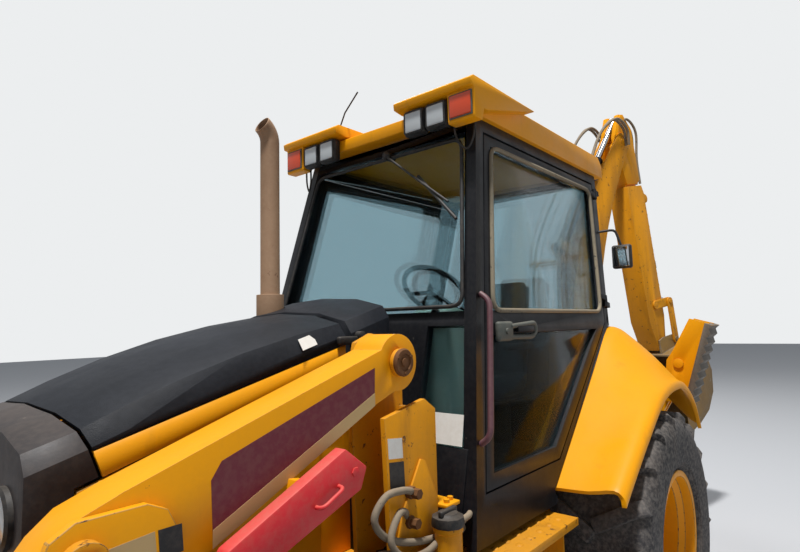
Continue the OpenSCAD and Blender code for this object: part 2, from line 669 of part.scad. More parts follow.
module cab_frame() color([0.07, 0.07, 0.08]) placed() {
    both() {
        cab_side() for (up = [70, 820]) door_knuckle(up, -50);
        cab_side() difference() {
            side_slab(side_outer, 0, wall);
            side_slab(doorway(0), -5, wall + 10);
        }
        side_plate([[rear_foot, cab_z], [slant_x(cab_z + 60, 2), cab_z], [slant_x(cab_z + 60, 2), cab_z + 60],
            [fender_high.x, slant_z(fender_high.x, 2)], [rear_foot, rear_z]], tub_y - 30, 29.7);
        side_plate([[fender_low.x, slant_z(fender_low.x, 2)], [fender_high.x, slant_z(fender_high.x, 2)],
            [fender_high.x, slant_z(fender_high.x, 30)], [fender_low.x, slant_z(fender_low.x, 30)]],
            tub_y - 30, side_y(rear_z) - tub_y);
    }
    difference() {
        screen_slab(trapezoid(cab_z + 12, cab_top - 3, 13), 2, wall - 3);
        screen_slab(front_light(0), -5, wall + 10);
        both() screen_slab(foot_light(0), -5, wall + 10);
    }
    difference() {
        rear_slab(trapezoid(rear_z + 5, cab_top - 12, 13), 2, wall - 3);
        rear_slab(rear_light(0), -5, wall + 10);
    }
    translate([rear_foot, -tub_y + 1, cab_z]) cube([wall, 2 * tub_y - 2, rear_z - cab_z]);
    translate([rear_foot + 3, -side_y(rear_z) + 4, rear_z - 13]) cube([wall, 2 * side_y(rear_z) - 8, 30]);
    translate([rear_foot, -tub_y + 1, cab_z]) cube([1000, 2 * tub_y - 2, 30]);
    translate([700, -side_y(cab_z) + 10, cab_z]) cube([cab_front - 720, 2 * side_y(cab_z) - 20, 30]);
}

module cab_glass() color([0.5, 0.7, 0.8, 0.4]) placed() {
    screen_slab(front_light(0.4), 18, pane);
    both() screen_slab(foot_light(0.4), 18, pane);
    rear_slab(rear_light(0.4), 18, pane);
}

handle_at = [760, 768];
module door() {
    cab_side() {
        difference() {
            side_slab(doorway(door_gap), 0, wall);
            side_slab(upper_light(frame_w), -5, wall + 10);
            side_slab(lower_light(frame_w), -5, wall + 10);
        }
        for (up = [105, 785]) door_knuckle(up, 60);
        // Handle: a bar on two feet
        translate([handle_at[0], 16, handle_at[1]]) cube([150, 14, 24]);
        for (x = [8, 118]) translate([handle_at[0] + x, -1, handle_at[1] + 2]) cube([24, 20, 20]);
    }
}

module door_glass() {
    cab_side() {
        side_slab(upper_light(frame_w + 0.4), 18, pane);
        side_slab(lower_light(frame_w + 0.4), 18, pane);
    }
}

module left_door() color([0.07, 0.07, 0.08]) placed() door();
module left_door_glass() color([0.5, 0.7, 0.8, 0.4]) placed() door_glass();
module right_door() color([0.07, 0.07, 0.08]) placed() mirror([0, 1, 0]) door();
module right_door_glass() color([0.5, 0.7, 0.8, 0.4]) placed() mirror([0, 1, 0]) door_glass();

roof_y = 650;
roof_rear = -560;
roof_front = 1060;
roof_top = cab_top + 130;
brow_in = 205;
brow_front = roof_front + 78;
brow_low = roof_top - 56;
pod_front = roof_front + 50;
// Slab over the cab, wings beside its front, a brow lobe over each pair of lamps and a pod for each signal
module cab_roof() color("gold") placed() {
    slab_y = 590;
    low = cab_top + 0.3;
    slab = [[roof_rear, low], [roof_front, low], [roof_front, roof_top - 70], [roof_front - 150, roof_top],
        [roof_rear + 60, roof_top], [roof_rear, roof_top - 50]];
    wing = [[540, roof_top - 5], [1000, low], [roof_front, low], [roof_front, roof_top], [540, roof_top]];
    lobe = [[roof_front - 240, roof_top - 30], [roof_front - 240, roof_top], [brow_front - 26, roof_top],
        [brow_front, roof_top - 18], [brow_front - 5, brow_low + 8], [roof_front + 20, brow_low],
        [roof_front - 40, brow_low]];
    pod = [[roof_front - 30, brow_low + 10], [roof_front - 30, low], [roof_front - 12, cab_top - 58],
        [pod_front - 6, cab_top - 58], [pod_front, cab_top - 50], [pod_front, brow_low + 10]];
    side_plate(slab, -slab_y, 2 * slab_y);
    both() {
        side_plate(wing, slab_y - 10, roof_y - slab_y + 10);
        side_plate(lobe, brow_in, roof_y - brow_in);
        side_plate(pod, 505, roof_y - 505);
    }
}

// Pipe from the cowl with a collar at its foot and a tip bent forward
module exhaust() color([0.45, 0.36, 0.27]) placed() {
    at = exhaust_at;
    bend = 90;
    foot = shelf_z + 0.3;
    translate([at.x, at.y, foot]) difference() {
        union() {
            cylinder(h = 230, r = exhaust_r + 18, $fn = smooth);
            cylinder(h = exhaust_top - bend - exhaust_r - foot, r = exhaust_r, $fn = smooth);
        }
        translate([0, 0, 260]) cylinder(h = 2000, r = exhaust_r - 5, $fn = smooth);
    }
    translate([at.x + bend, at.y, exhaust_top - bend - exhaust_r]) rotate([90, 0, 0])
        rotate([0, 0, 120]) rotate_extrude(angle = 60, $fn = smooth) translate([bend, 0]) difference() {
            circle(r = exhaust_r, $fn = smooth);
            circle(r = exhaust_r - 5, $fn = smooth);
        }
}

// Fuel tank with its filler on the left, battery box on the right, and a step under each door
tank_h = 340;
module tank_steps() color("gold") placed() {
    both() {
        translate([760, rail_y + 0.3, 560]) cube([660, 300, tank_h]);
        // Step below the doorway
        translate([760, rail_y + 300, 480]) cube([400, 140, 20]);
        for (x = [760, 1150]) translate([x, rail_y + 300, 480]) cube([10, 140, 360]);
        translate([760, rail_y + 299, 870]) cube([660, 210, 30]);
    }
    translate([1440, 560, 640]) cylinder(h = 400, r = 45, $fn = smooth);
    translate([1440, 560, 1040]) cylinder(h = 35, r = 55, $fn = smooth);
}

seat_x = 150;
module seat() color([0.12, 0.12, 0.13]) placed() {
    translate([seat_x - 160, -150, cab_z + 30.3]) cube([320, 300, 330]);
    translate([seat_x - 230, -240, cab_z + 360]) cube([500, 480, 120]);
    translate([seat_x - 260, -220, cab_z + 400]) rotate([0, -10, 0]) cube([110, 440, 620]);
    for (y = [-290, 240]) translate([seat_x - 200, y, cab_z + 640]) cube([330, 50, 50]);
    for (y = [-290, 240]) translate([seat_x - 200, y, cab_z + 440]) cube([60, 50, 210]);
}

module console() color([0.3, 0.32, 0.3]) placed() {
    translate([920, -190, cab_z + 30.3]) cube([200, 380, 480]);
    translate([900, -230, cab_z + 500]) rotate([0, 12, 0]) cube([240, 460, 200]);
    translate([970, 0, cab_z + 600]) rotate([0, -40, 0]) cylinder(h = 300, r = 28, $fn = smooth);
    translate([970, 0, cab_z + 600]) rotate([0, -40, 0]) translate([0, 0, 290]) {
        rotate_extrude($fn = 64) translate([190, 0]) circle(r = 15, $fn = 24);
        for (a = [30, 150, 270]) rotate([0, 0, a]) translate([0, -14, -6]) cube([180, 28, 12]);
    }
}

lamp_x = roof_front + 0.3;
lamp_high = brow_low - 5;
module lamps() color("whitesmoke") placed() {
    both() {
        for (y = [436, 306]) translate([lamp_x, y - 61, lamp_high - 124]) cube([56, 122, 124]);
        translate([pod_front + 0.3, 522, cab_top - 40]) cube([12, 112, 102]);
        translate([roof_rear - 60.3, 440, cab_top + 5]) cube([60, 104, 104]);
    }
}

// Loader arms, welded to their cross tube, with a bracket for the lift cylinder's rod
arm_mid = arm_y + arm_t / 2;
module loader_arms() color("gold") placed() {
    outline = [[1640, 1696], [1700, 1674], [2560, 1402], [2650, 1368], [2700, 1325], [2770, 1230], [3455, 345],
        [3325, 245], [2700, 1060], [2600, 1030], [2500, 1060], [2420, 1190], [1800, 1480], [1660, 1530]];
    both() {
        difference() {
            union() {
                side_plate(outline, arm_y, arm_t);
                cross_bar(lift, 95, arm_y, arm_t);
                cross_bar(tip, 80, arm_y, arm_t);
            }
            cross_bar(lift, pin_r + 8 + pin_gap, arm_y - 1, arm_t + 2);
            cross_bar(tip, pin_r + pin_gap, arm_y - 1, arm_t + 2);
            cross_bar(lever, 40 + pin_gap, arm_y - 1, arm_t + 2);
            // Channel from below for the lift cylinder
            side_plate([[1770, 1300], [1770, 1560], [2180, 1480], [2440, 1410], [2545, 1330], [2545, 1000]],
                arm_mid - 50, 100);
        }
        // Bracket for the tilt cylinder, on the arm's inner face
        side_plate([[1810, 1350], [1950, 1350], [1950, 1470], [1810, 1470]], arm_y - 20, 20);
        cross_bar(tilt_base, pin_r * 0.8, arm_y - 110, 110);
    }
    cross_bar(tube_at, 75, -arm_y, 2 * arm_y);
}

module lift_barrels() color([0.08, 0.08, 0.08]) placed() both()
    barrel(cyl_base, cyl_eye, 800, 40, 24, 50, arm_mid, arm_t - 2 * side_gap);

module lift_rods() color("silver") placed() both()
    rod(cyl_base, cyl_eye, 780, 24, 42, arm_mid, 86);

lever_in = arm_y - side_gap - 22;
module tilt_levers() color("gold") placed() both() {
    link_pin = lever + lever_offset;
    cross_bar(lever, 75, lever_in, 22);
    strap(lever, tilt_eye, 90, lever_in, 22);
    cross_bar(lever, 40, lever_in, arm_y + arm_t + side_gap + 24 - lever_in);
    side_plate([[2500, 1050], [2560, 1010], [2640, 1010], [2700, 1050], [2725, 1150], [2728, 1290], [2705, 1345],
        [2660, 1372], [2520, 1372], [2475, 1350], [2455, 1310], [2462, 1180]], arm_y + arm_t + side_gap, 24);
    cross_bar(link_pin, pin_r * 0.8, arm_y + arm_t + side_gap, 76);
}

link_y = arm_y + arm_t + side_gap * 2 + 24;
module tilt_links() color("gold") placed() both()
    strap(lever + lever_offset, bucket_pin, 90, link_y, 30, pin_r * 0.8 + pin_gap);

module tilt_barrels() color([0.08, 0.08, 0.08]) placed() both()
    barrel(tilt_base, tilt_eye, 530, 42, 22, 44, arm_y - 62, 60);

module tilt_rods() color("silver") placed() both()
    rod(tilt_base, tilt_eye, 460, 22, 38, arm_y - 62, 56);

module loader_bucket() color("gold") placed() {
    shell = [[3500, 160], [3560, 70], [3640, 40], [4250, 40], [4300, 48], [4250, 62], [3650, 62], [3580, 88],
        [3522, 168], [3500, 400], [3520, 640], [3620, 900], [3660, 930], [3640, 945], [3600, 915], [3498, 645],
        [3478, 400]];
    side = [[3490, 160], [3560, 60], [3640, 45], [4240, 45], [4180, 200], [3900, 560], [3690, 900], [3640, 935],
        [3610, 900], [3510, 640], [3490, 400]];
    side_plate(shell, -bucket_y, 2 * bucket_y);
    for (y = [-bucket_y, bucket_y - 18]) side_plate(side, y, 18);
    ear = [[3400, 210], [3500, 150], [3510, 620], [3440, 545], [3370, 470], [3310, 330], [3310, 250]];
    ear_t = 24;
    both() {
        for (y = [arm_y - side_gap - ear_t, arm_y + arm_t + side_gap]) side_plate(ear, y, ear_t);
        cross_bar(tip, pin_r, arm_y - side_gap - ear_t, arm_t + 2 * side_gap + 2 * ear_t);
        cross_bar(bucket_pin, pin_r * 0.8, link_y - side_gap - ear_t, ear_t + side_gap + 42);
    }
}

// Casting that turns between the swing lugs and carries the boom's foot
module swing_frame() color("gold") swung() {
    hub = 120;
    foot_y = boom_y + side_gap;
    side = [[swing_x - 34, 505], [swing_x - 34, 955], [swing_x - 154, 955], [swing_x - 340, 850],
        [swing_x - 390, 740], [swing_x - 390, 640], [swing_x - 340, 570], [swing_x - 154, 505]];
    tongue = [[swing_x - 60, 760], [swing_x - 60, 955], [swing_x - 122, 955], [swing_x - 160, 1005],
        [swing_x - 230, 960], [swing_x - 150, 860], [swing_x - 115, 760]];
    difference() {
        union() {
            translate([swing_x, 0, 500 + side_gap]) cylinder(h = 460 - 2 * side_gap, r = hub, $fn = smooth);
            translate([swing_x - 89, -foot_y - 40, 505]) cube([89, 2 * foot_y + 80, 450]);
        }
        translate([swing_x, 0, 400]) cylinder(h = 700, r = 45 + pin_gap, $fn = smooth);
    }
    for (y = [-foot_y - 40, foot_y]) side_plate(side, y, 40);
    for (y = [-62, 35]) {
        side_plate(tongue, y, 27);
        cross_bar(boom_base, 42, y, 27);
    }
    cross_bar(boom_foot, 38, -foot_y - 48, 2 * foot_y + 96);
    cross_bar(boom_base, pin_r * 0.8, -62, 124);
}

// The boom's centre line, its direction and its edges, from foot to tip as t goes from 0 to 1
function bend(t) = (1 - t) * (1 - t) * boom_foot + 2 * t * (1 - t) * boom_bend + t * t * boom_tip;
function heading(t) = let (d = (1 - t) * (boom_bend - boom_foot) + t * (boom_tip - boom_bend)) d / norm(d);
function boom_half(t) = 88 + 62 * sin(180 * pow(t, 0.95));
function beside(t, k) = bend(t) + k * [heading(t).y, -heading(t).x];
boom_steps = 14;

module boom() color("gold") swung() {
    outline = concat([for (i = [0 : boom_steps]) let (t = i / boom_steps) beside(t, boom_half(t))],
        [for (i = [boom_steps : -1 : 0]) let (t = i / boom_steps) beside(t, -boom_half(t))]);
    channel = concat([for (t = [0.03 : 0.06 : 0.57]) beside(t, 50 - boom_half(t))],
        [for (t = [0.57 : -0.06 : 0.03]) beside(t, boom_half(t) + 120)]);
    lug = [beside(0.5, 60), beside(0.68, 60), stick_base + [-38, 16], stick_base + [38, -16]];
    difference() {
        union() {
            difference() {
                side_plate(outline, -boom_y, 2 * boom_y);
                side_plate(channel, -70, 140);
            }
            cross_bar(boom_foot, 105, -boom_y, 2 * boom_y);
            cross_bar(boom_tip, 88, -boom_y, 2 * boom_y);
        }
        cross_bar(boom_foot, 38 + pin_gap, -boom_y - 1, 2 * boom_y + 2);
        cross_bar(boom_tip, 330, -stick_y - side_gap, 2 * (stick_y + side_gap));
        // Trough for the stick cylinder
        aim(stick_base, stick_eye) translate([20, -58, -62]) cube([1500, 116, 400]);
    }
    for (y = [-60, 36]) {
        side_plate(lug, y, 24);
        cross_bar(stick_base, 42, y, 24);
    }
    cross_bar(stick_base, pin_r * 0.8, -60, 120);
    cross_bar(boom_tip, 34, -boom_y - 6, 2 * boom_y + 12);
    for (y = [-boom_y - 8, boom_y]) cross_bar(boom_eye, 45, y, 8);
}

module boom_barrel() color([0.08, 0.08, 0.08]) swung() barrel(boom_base, boom_eye, 880, 50, 32, 50, 0, 68);
module boom_rod() color("silver") swung() rod(boom_base, boom_eye, 760, 32, 40, 0, 68);

inner_y = 55;
module stick() color("gold") swung() {
    head = [for (p = [[-262, 20], [-262, 95], [-120, 190], [340, 190], [380, 150], [380, -10], [80, -78], [-60, -80]])
        hoe(p.x, p.y)];
    beam = [for (p = [[300, -10], [300, 150], [1440, 150], [1440, -10]]) hoe(p.x, p.y)];
    slot = [for (p = [[-320, 160], [-190, 160], [-168, 122], [-30, -16], [20, -90], [20, -140], [-320, -140]]) hoe(p.x, p.y)];
    difference() {
        side_plate(head, -stick_y, 2 * stick_y);
        side_plate(slot, -37, 74);
        cross_bar(boom_tip, 34 + pin_gap, -stick_y - 1, 2 * stick_y + 2);
    }
    side_plate(beam, -inner_y, 2 * inner_y);
    for (y = [-stick_y - 8, stick_y]) cross_bar(stick_eye, 36, y, 8);
}

sleeve_y = 95;
sleeve_gap = 6;
hoe_pin = hoe(hinge_u, rocker_w + rocker_len);
rocker_pin = hoe(rocker_u, rocker_w);
module stick_extension() color("gold") swung() {
    sleeve = [for (p = [[400, -48], [400, 170], [470, 192], [1620, 192], [1890, 140], [1925, 100], [1915, 30],
        [1640, -48]]) hoe(p.x, p.y)];
    hollow = [for (p = [[380, -10 - sleeve_gap], [380, 150 + sleeve_gap], [1600, 150 + sleeve_gap],
        [1600, -10 - sleeve_gap]]) hoe(p.x, p.y)];
    lug = [for (p = [[430, 180], [550, 180], [560, 250], [482, 262]]) hoe(p.x, p.y)];
    difference() {
        side_plate(sleeve, -sleeve_y, 2 * sleeve_y);
        side_plate(hollow, -inner_y - sleeve_gap, 2 * (inner_y + sleeve_gap));
        cross_bar(hoe_hinge, pin_r + pin_gap, -sleeve_y - 1, 2 * sleeve_y + 2);
    }
    for (y = [-62, 36]) {
        side_plate(lug, y, 26);
        cross_bar(crowd_base, 41, y, 26);
    }
    cross_bar(crowd_base, pin_r * 0.8, -62, 124);
    both() cross_bar(rocker_pin, pin_r * 0.8, sleeve_y, rocker_t + 1);
}

rocker_y = sleeve_y + side_gap;
rocker_t = 16;
module hoe_rocker() color("gold") swung() both() {
    difference() {
        strap(rocker_pin, crowd_eye, 80, rocker_y, rocker_t);
        cross_bar(rocker_pin, pin_r * 0.8 + pin_gap, rocker_y - 1, rocker_t + 2);
    }
    cross_bar(crowd_eye, pin_r * 0.8, rocker_y, rocker_t + 24);
}

bucket_link_y = rocker_y + rocker_t + side_gap;
module hoe_link() color("gold") swung() both()
    strap(crowd_eye, hoe_pin, 76, bucket_link_y, 16, pin_r * 0.8 + pin_gap);

// Points of the hoe's bucket, forward of and below its hinge
function scoop(outline) = [for (p = outline) hoe_hinge + p.y * along - p.x * across];
module hoe_bucket() color([0.4, 0.33, 0.2]) swung() {
    outer = [[70, 95], [-230, 60], [-330, 170], [-385, 330], [-350, 520], [-230, 660], [-60, 730], [130, 770]];
    inner = [[75, 111], [-218, 78], [-312, 178], [-366, 330], [-333, 508], [-220, 642], [-55, 712], [134, 752],
        [260, 752], [260, 111]];
    ear = [[50, 100], [50, -30], [-20, -48], [-190, -45], [-245, -10], [-245, 80], [-100, 110]];
    tooth = [[60, 745], [60, 765], [150, 850], [165, 850], [150, 760]];
    difference() {
        side_plate(scoop(outer), -hoe_y, 2 * hoe_y);
        side_plate(scoop(inner), -hoe_y + 14, 2 * hoe_y - 28);
    }
    both() {
        side_plate(scoop(ear), rocker_y, rocker_t);
        cross_bar(hoe_pin, pin_r * 0.8, rocker_y, rocker_t + 24);
    }
    cross_bar(hoe_hinge, pin_r, -rocker_y - rocker_t, 2 * (rocker_y + rocker_t));
    for (i = [0 : 4]) side_plate(scoop(tooth), -hoe_y + i * (2 * hoe_y - 60) / 4, 60);
}

module stick_barrel() color([0.08, 0.08, 0.08]) swung() barrel(stick_base, stick_eye, 980, 45, 26, 45, 0, 70);
module stick_rod() color("silver") swung() rod(stick_base, stick_eye, 600, 26, 36, 0, 68);
module crowd_barrel() color([0.08, 0.08, 0.08]) swung() barrel(crowd_base, crowd_eye, 660, 42, 26, 42, 0, 70);
module crowd_rod() color("silver") swung() rod(crowd_base, crowd_eye, 640, 26, 40, 0, 100);

// Turns a side view into a rear view at x, its points then a distance to the left and a height
module rear_view(x) { placed() translate([x, 0, 0]) rotate([0, 0, 90]) children(); }

leg_half = 50;
module leg() {
    rear_view(leg_x) {
        for (y = [-leg_half, leg_half - 20]) difference() {
            strap(leg_hinge, leg_foot, 110, y, 20);
            cross_bar(leg_hinge, pin_r + pin_gap, y - 1, 22);
        }
        aim(leg_hinge, leg_foot) translate([130, -leg_half + 1, -50]) cube([740, 2 * leg_half - 2, 14]);
        cross_bar(leg_foot, pin_r, -leg_half - 35, 2 * leg_half + 70);
    }
}

module foot() {
    side = [[1010, 1735], [1122, 1702], [977, 1203], [830, 1205], [860, 1470], [900, 1530]];
    teeth = 9;
    notch = [-16, 5];
    sole = concat([[958, 1209], [1104, 1703]], [for (i = [0 : 2 * teeth])
        let (t = i / (2 * teeth)) [1146, 1690] + t * [-146, -494] + (i % 2) * notch]);
    rear_view(leg_x) {
        for (y = [-leg_half - 25, leg_half + 5]) difference() {
            side_plate(side, y, 20);
            cross_bar(leg_foot, pin_r + pin_gap, y - 1, 22);
        }
        side_plate(sole, -110, 220);
    }
}

module leg_barrel() { rear_view(leg_x) barrel(leg_base, leg_lug, 560, 34, 20, 34, 0, 52); }
module leg_rod() { rear_view(leg_x) rod(leg_base, leg_lug, 580, 20, 32, 0, 56); }

module leg_left() color("gold") leg();
module leg_right() color("gold") mirror([0, 1, 0]) leg();
module foot_left() color("gold") foot();
module foot_right() color("gold") mirror([0, 1, 0]) foot();
module leg_barrel_left() color([0.08, 0.08, 0.08]) leg_barrel();
module leg_barrel_right() color([0.08, 0.08, 0.08]) mirror([0, 1, 0]) leg_barrel();
module leg_rod_left() color("silver") leg_rod();
module leg_rod_right() color("silver") mirror([0, 1, 0]) leg_rod();

chassis_frame();
engine_block();
nose();
side_panels();
cowl();
axles();
fenders();
cab_frame();
cab_roof();
cab_glass();
tank_steps();
exhaust();
seat();
console();
lamps();
hood();
left_door();
left_door_glass();
right_door();
right_door_glass();
knuckle_left();
knuckle_right();
steering_rod();
front_tyre_left();
front_tyre_right();
front_rim_left();
front_rim_right();
rear_tyre_left();
rear_tyre_right();
rear_rim_left();
rear_rim_right();
loader_arms();
lift_barrels();
lift_rods();
tilt_levers();
tilt_links();
tilt_barrels();
tilt_rods();
loader_bucket();
swing_frame();
boom();
stick();
stick_extension();
hoe_bucket();
hoe_rocker();
hoe_link();
boom_barrel();
boom_rod();
stick_barrel();
stick_rod();
crowd_barrel();
crowd_rod();
leg_left();
leg_right();
foot_left();
foot_right();
leg_barrel_left();
leg_barrel_right();
leg_rod_left();
leg_rod_right();
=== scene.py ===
import bpy, json, math
from mathutils import Matrix, Vector

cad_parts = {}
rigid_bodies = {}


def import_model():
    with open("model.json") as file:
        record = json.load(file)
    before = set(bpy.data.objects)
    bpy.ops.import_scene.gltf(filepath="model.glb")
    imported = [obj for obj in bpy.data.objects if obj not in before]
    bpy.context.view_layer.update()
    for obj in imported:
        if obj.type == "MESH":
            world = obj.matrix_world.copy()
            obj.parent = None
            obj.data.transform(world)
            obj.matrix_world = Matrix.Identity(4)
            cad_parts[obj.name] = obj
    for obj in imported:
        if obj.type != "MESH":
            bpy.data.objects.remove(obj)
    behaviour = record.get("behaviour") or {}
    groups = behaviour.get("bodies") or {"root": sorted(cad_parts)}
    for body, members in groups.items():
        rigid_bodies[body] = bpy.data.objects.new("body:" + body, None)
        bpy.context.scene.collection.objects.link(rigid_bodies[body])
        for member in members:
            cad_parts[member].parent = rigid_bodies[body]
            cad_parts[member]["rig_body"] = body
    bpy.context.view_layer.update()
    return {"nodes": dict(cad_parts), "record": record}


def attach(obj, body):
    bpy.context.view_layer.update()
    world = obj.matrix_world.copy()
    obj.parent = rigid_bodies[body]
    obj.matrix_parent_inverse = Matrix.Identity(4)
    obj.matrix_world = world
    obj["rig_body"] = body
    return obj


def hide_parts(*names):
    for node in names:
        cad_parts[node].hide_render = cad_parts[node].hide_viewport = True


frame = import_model()
nodes = frame["nodes"]
scene = bpy.context.scene
aheadOfAxle = 0.754  # the part's origin lies this far ahead of the rear axle
toOrigin = Matrix.Translation((-aheadOfAxle, 0, 0))

print("camera, floor and light")
cameraSet = {"at": (3.072, 1.869, 1.735), "yaw": 220.39, "pitch": 5.21, "roll": -1.389, "lens": 24.46,
             "sensor": 36, "near": 0.05, "far": 200}
# fill: strength of the sky on the object; mirrored: how much of the backdrop its gloss shows;
# lamps: name, place, size, watts
lightSet = {"sky": "#e6edf6", "backdrop": "#eceeef", "fill": 0.32, "mirrored": 0.4, "aim": (0, 0, 1),
            "lamps": [("keyLamp", (3.0, 1.6, 14), 1.2, 2400), ("rimLamp", (-9, -6, 9), 6, 400)],
            "floor": "#bfc0c2", "floorSize": 80, "floorRough": 0.9}


def placeCamera(values):
    data = bpy.data.cameras.new("camera")
    data.sensor_width = values["sensor"]
    data.lens = values["lens"]
    data.clip_start, data.clip_end = values["near"], values["far"]
    camera = bpy.data.objects.new("camera", data)
    scene.collection.objects.link(camera)
    yaw, pitch, roll = (math.radians(values[k]) for k in ("yaw", "pitch", "roll"))
    ahead = Vector((math.cos(yaw) * math.cos(pitch), math.sin(yaw) * math.cos(pitch), math.sin(pitch)))
    level = Vector((math.sin(yaw), -math.cos(yaw), 0))
    over = level.cross(ahead)
    right = level * math.cos(roll) + over * math.sin(roll)
    up = over * math.cos(roll) - level * math.sin(roll)
    turn = Matrix((right, up, -ahead)).transposed().to_4x4()
    camera.matrix_world = toOrigin @ Matrix.Translation(values["at"]) @ turn
    scene.camera = camera


def linear(code):  # sRGB hex to linear colour
    parts = [int(code[i:i + 2], 16) / 255 for i in (1, 3, 5)]
    return [p / 12.92 if p <= 0.04045 else ((p + 0.055) / 1.055) ** 2.4 for p in parts] + [1]


def add(tree, kind, settings=None, **links):  # one node, its settings, and its inputs linked or set
    node = tree.nodes.new(kind)
    for name, value in (settings or {}).items():
        setattr(node, name, value)
    for name, value in links.items():
        key = int(name[1:]) if name[0] == "i" and name[1:].isdigit() else name.replace("_", " ")
        if isinstance(value, bpy.types.NodeSocket):
            tree.links.new(value, node.inputs[key])
        else:
            node.inputs[key].default_value = value
    return node


def newMaterial(name):
    material = bpy.data.materials.new(name)
    material.use_nodes = True
    material.node_tree.nodes.clear()
    return material, material.node_tree


def lightScene(values):
    scene.view_settings.view_transform = "Standard"
    world = bpy.data.worlds.new("studio")
    scene.world = world
    world.use_nodes = True
    tree = world.node_tree
    tree.nodes.clear()
    path = add(tree, "ShaderNodeLightPath")
    seen = add(tree, "ShaderNodeMath", {"operation": "MAXIMUM"}, i0=path.outputs["Is Camera Ray"],
               i1=path.outputs["Is Transmission Ray"]).outputs[0]
    glossy = add(tree, "ShaderNodeMath", {"operation": "MULTIPLY"}, i0=path.outputs["Is Glossy Ray"],
                 i1=values["mirrored"]).outputs[0]
    seen = add(tree, "ShaderNodeMath", {"operation": "MAXIMUM"}, i0=seen, i1=glossy).outputs[0]
    sky = add(tree, "ShaderNodeBackground", Color=linear(values["sky"]), Strength=values["fill"])
    plain = add(tree, "ShaderNodeBackground", Color=linear(values["backdrop"]), Strength=1.0)
    mix = add(tree, "ShaderNodeMixShader", i0=seen, i1=sky.outputs[0], i2=plain.outputs[0])
    add(tree, "ShaderNodeOutputWorld", Surface=mix.outputs[0])
    for name, place, size, power in values["lamps"]:
        data = bpy.data.lights.new(name, "AREA")
        data.size, data.energy = size, power
        lamp = bpy.data.objects.new(name, data)
        scene.collection.objects.link(lamp)
        lamp.location = place
        lamp.rotation_mode = "QUATERNION"
        lamp.rotation_quaternion = (Vector(values["aim"]) - lamp.location).to_track_quat("-Z", "Y")
    material, tree = newMaterial("paleFloor")
    shader = add(tree, "ShaderNodeBsdfPrincipled", Base_Color=linear(values["floor"]),
                 Roughness=values["floorRough"])
    add(tree, "ShaderNodeOutputMaterial", Surface=shader.outputs[0])
    bpy.ops.object.select_all(action="DESELECT")
    bpy.ops.mesh.primitive_plane_add(size=values["floorSize"], location=(0, 0, 0))
    floor = bpy.context.object
    floor.name = "floor"
    floor.data.materials.append(material)


placeCamera(cameraSet)
lightScene(lightSet)
print("materials")


# patches per metre of each pattern, and the places in its noise where it starts and is whole
patternSet = {"dusting": (5, 0.3, 0.62), "fading": (1.6, 0.35, 0.7), "mottling": (55, 0.42, 0.62),
              "streaks": (9, 0.62, 0.75), "sheen": (7, 0.3, 0.7), "wiping": (60, 0.3, 0.8)}
# gloss: roughness where smoothest; dusty: dust on what faces up; mottle, streak: how strong they are;
# streaks, chips: how much they cover; chipScale, grain: patches per metre; shine: specular level
surfaceDefaults = {"gloss": 0.36, "metal": 0.0, "dusty": 0.4, "mottle": 0.12, "streak": 0.25,
                   "streaks": 0.0, "chips": 0.0, "chipScale": 26, "grain": 90, "bump": 0.12, "shine": 0.4}


def cloudMask(tree, scale, low, high, amount=1.0, detail=6.0, rough=0.6, stretch=(1, 1, 1)):
    # patches about 1/scale metres across, from 0 to amount
    place = add(tree, "ShaderNodeTexCoord")
    spread = add(tree, "ShaderNodeMapping", Vector=place.outputs["Object"],
                 Scale=[scale * s for s in stretch])
    cloud = add(tree, "ShaderNodeTexNoise", Vector=spread.outputs[0], Scale=1.0, Detail=detail,
                Roughness=rough)
    return add(tree, "ShaderNodeMapRange", i0=cloud.outputs[0], i1=low, i2=high, i4=amount).outputs[0]


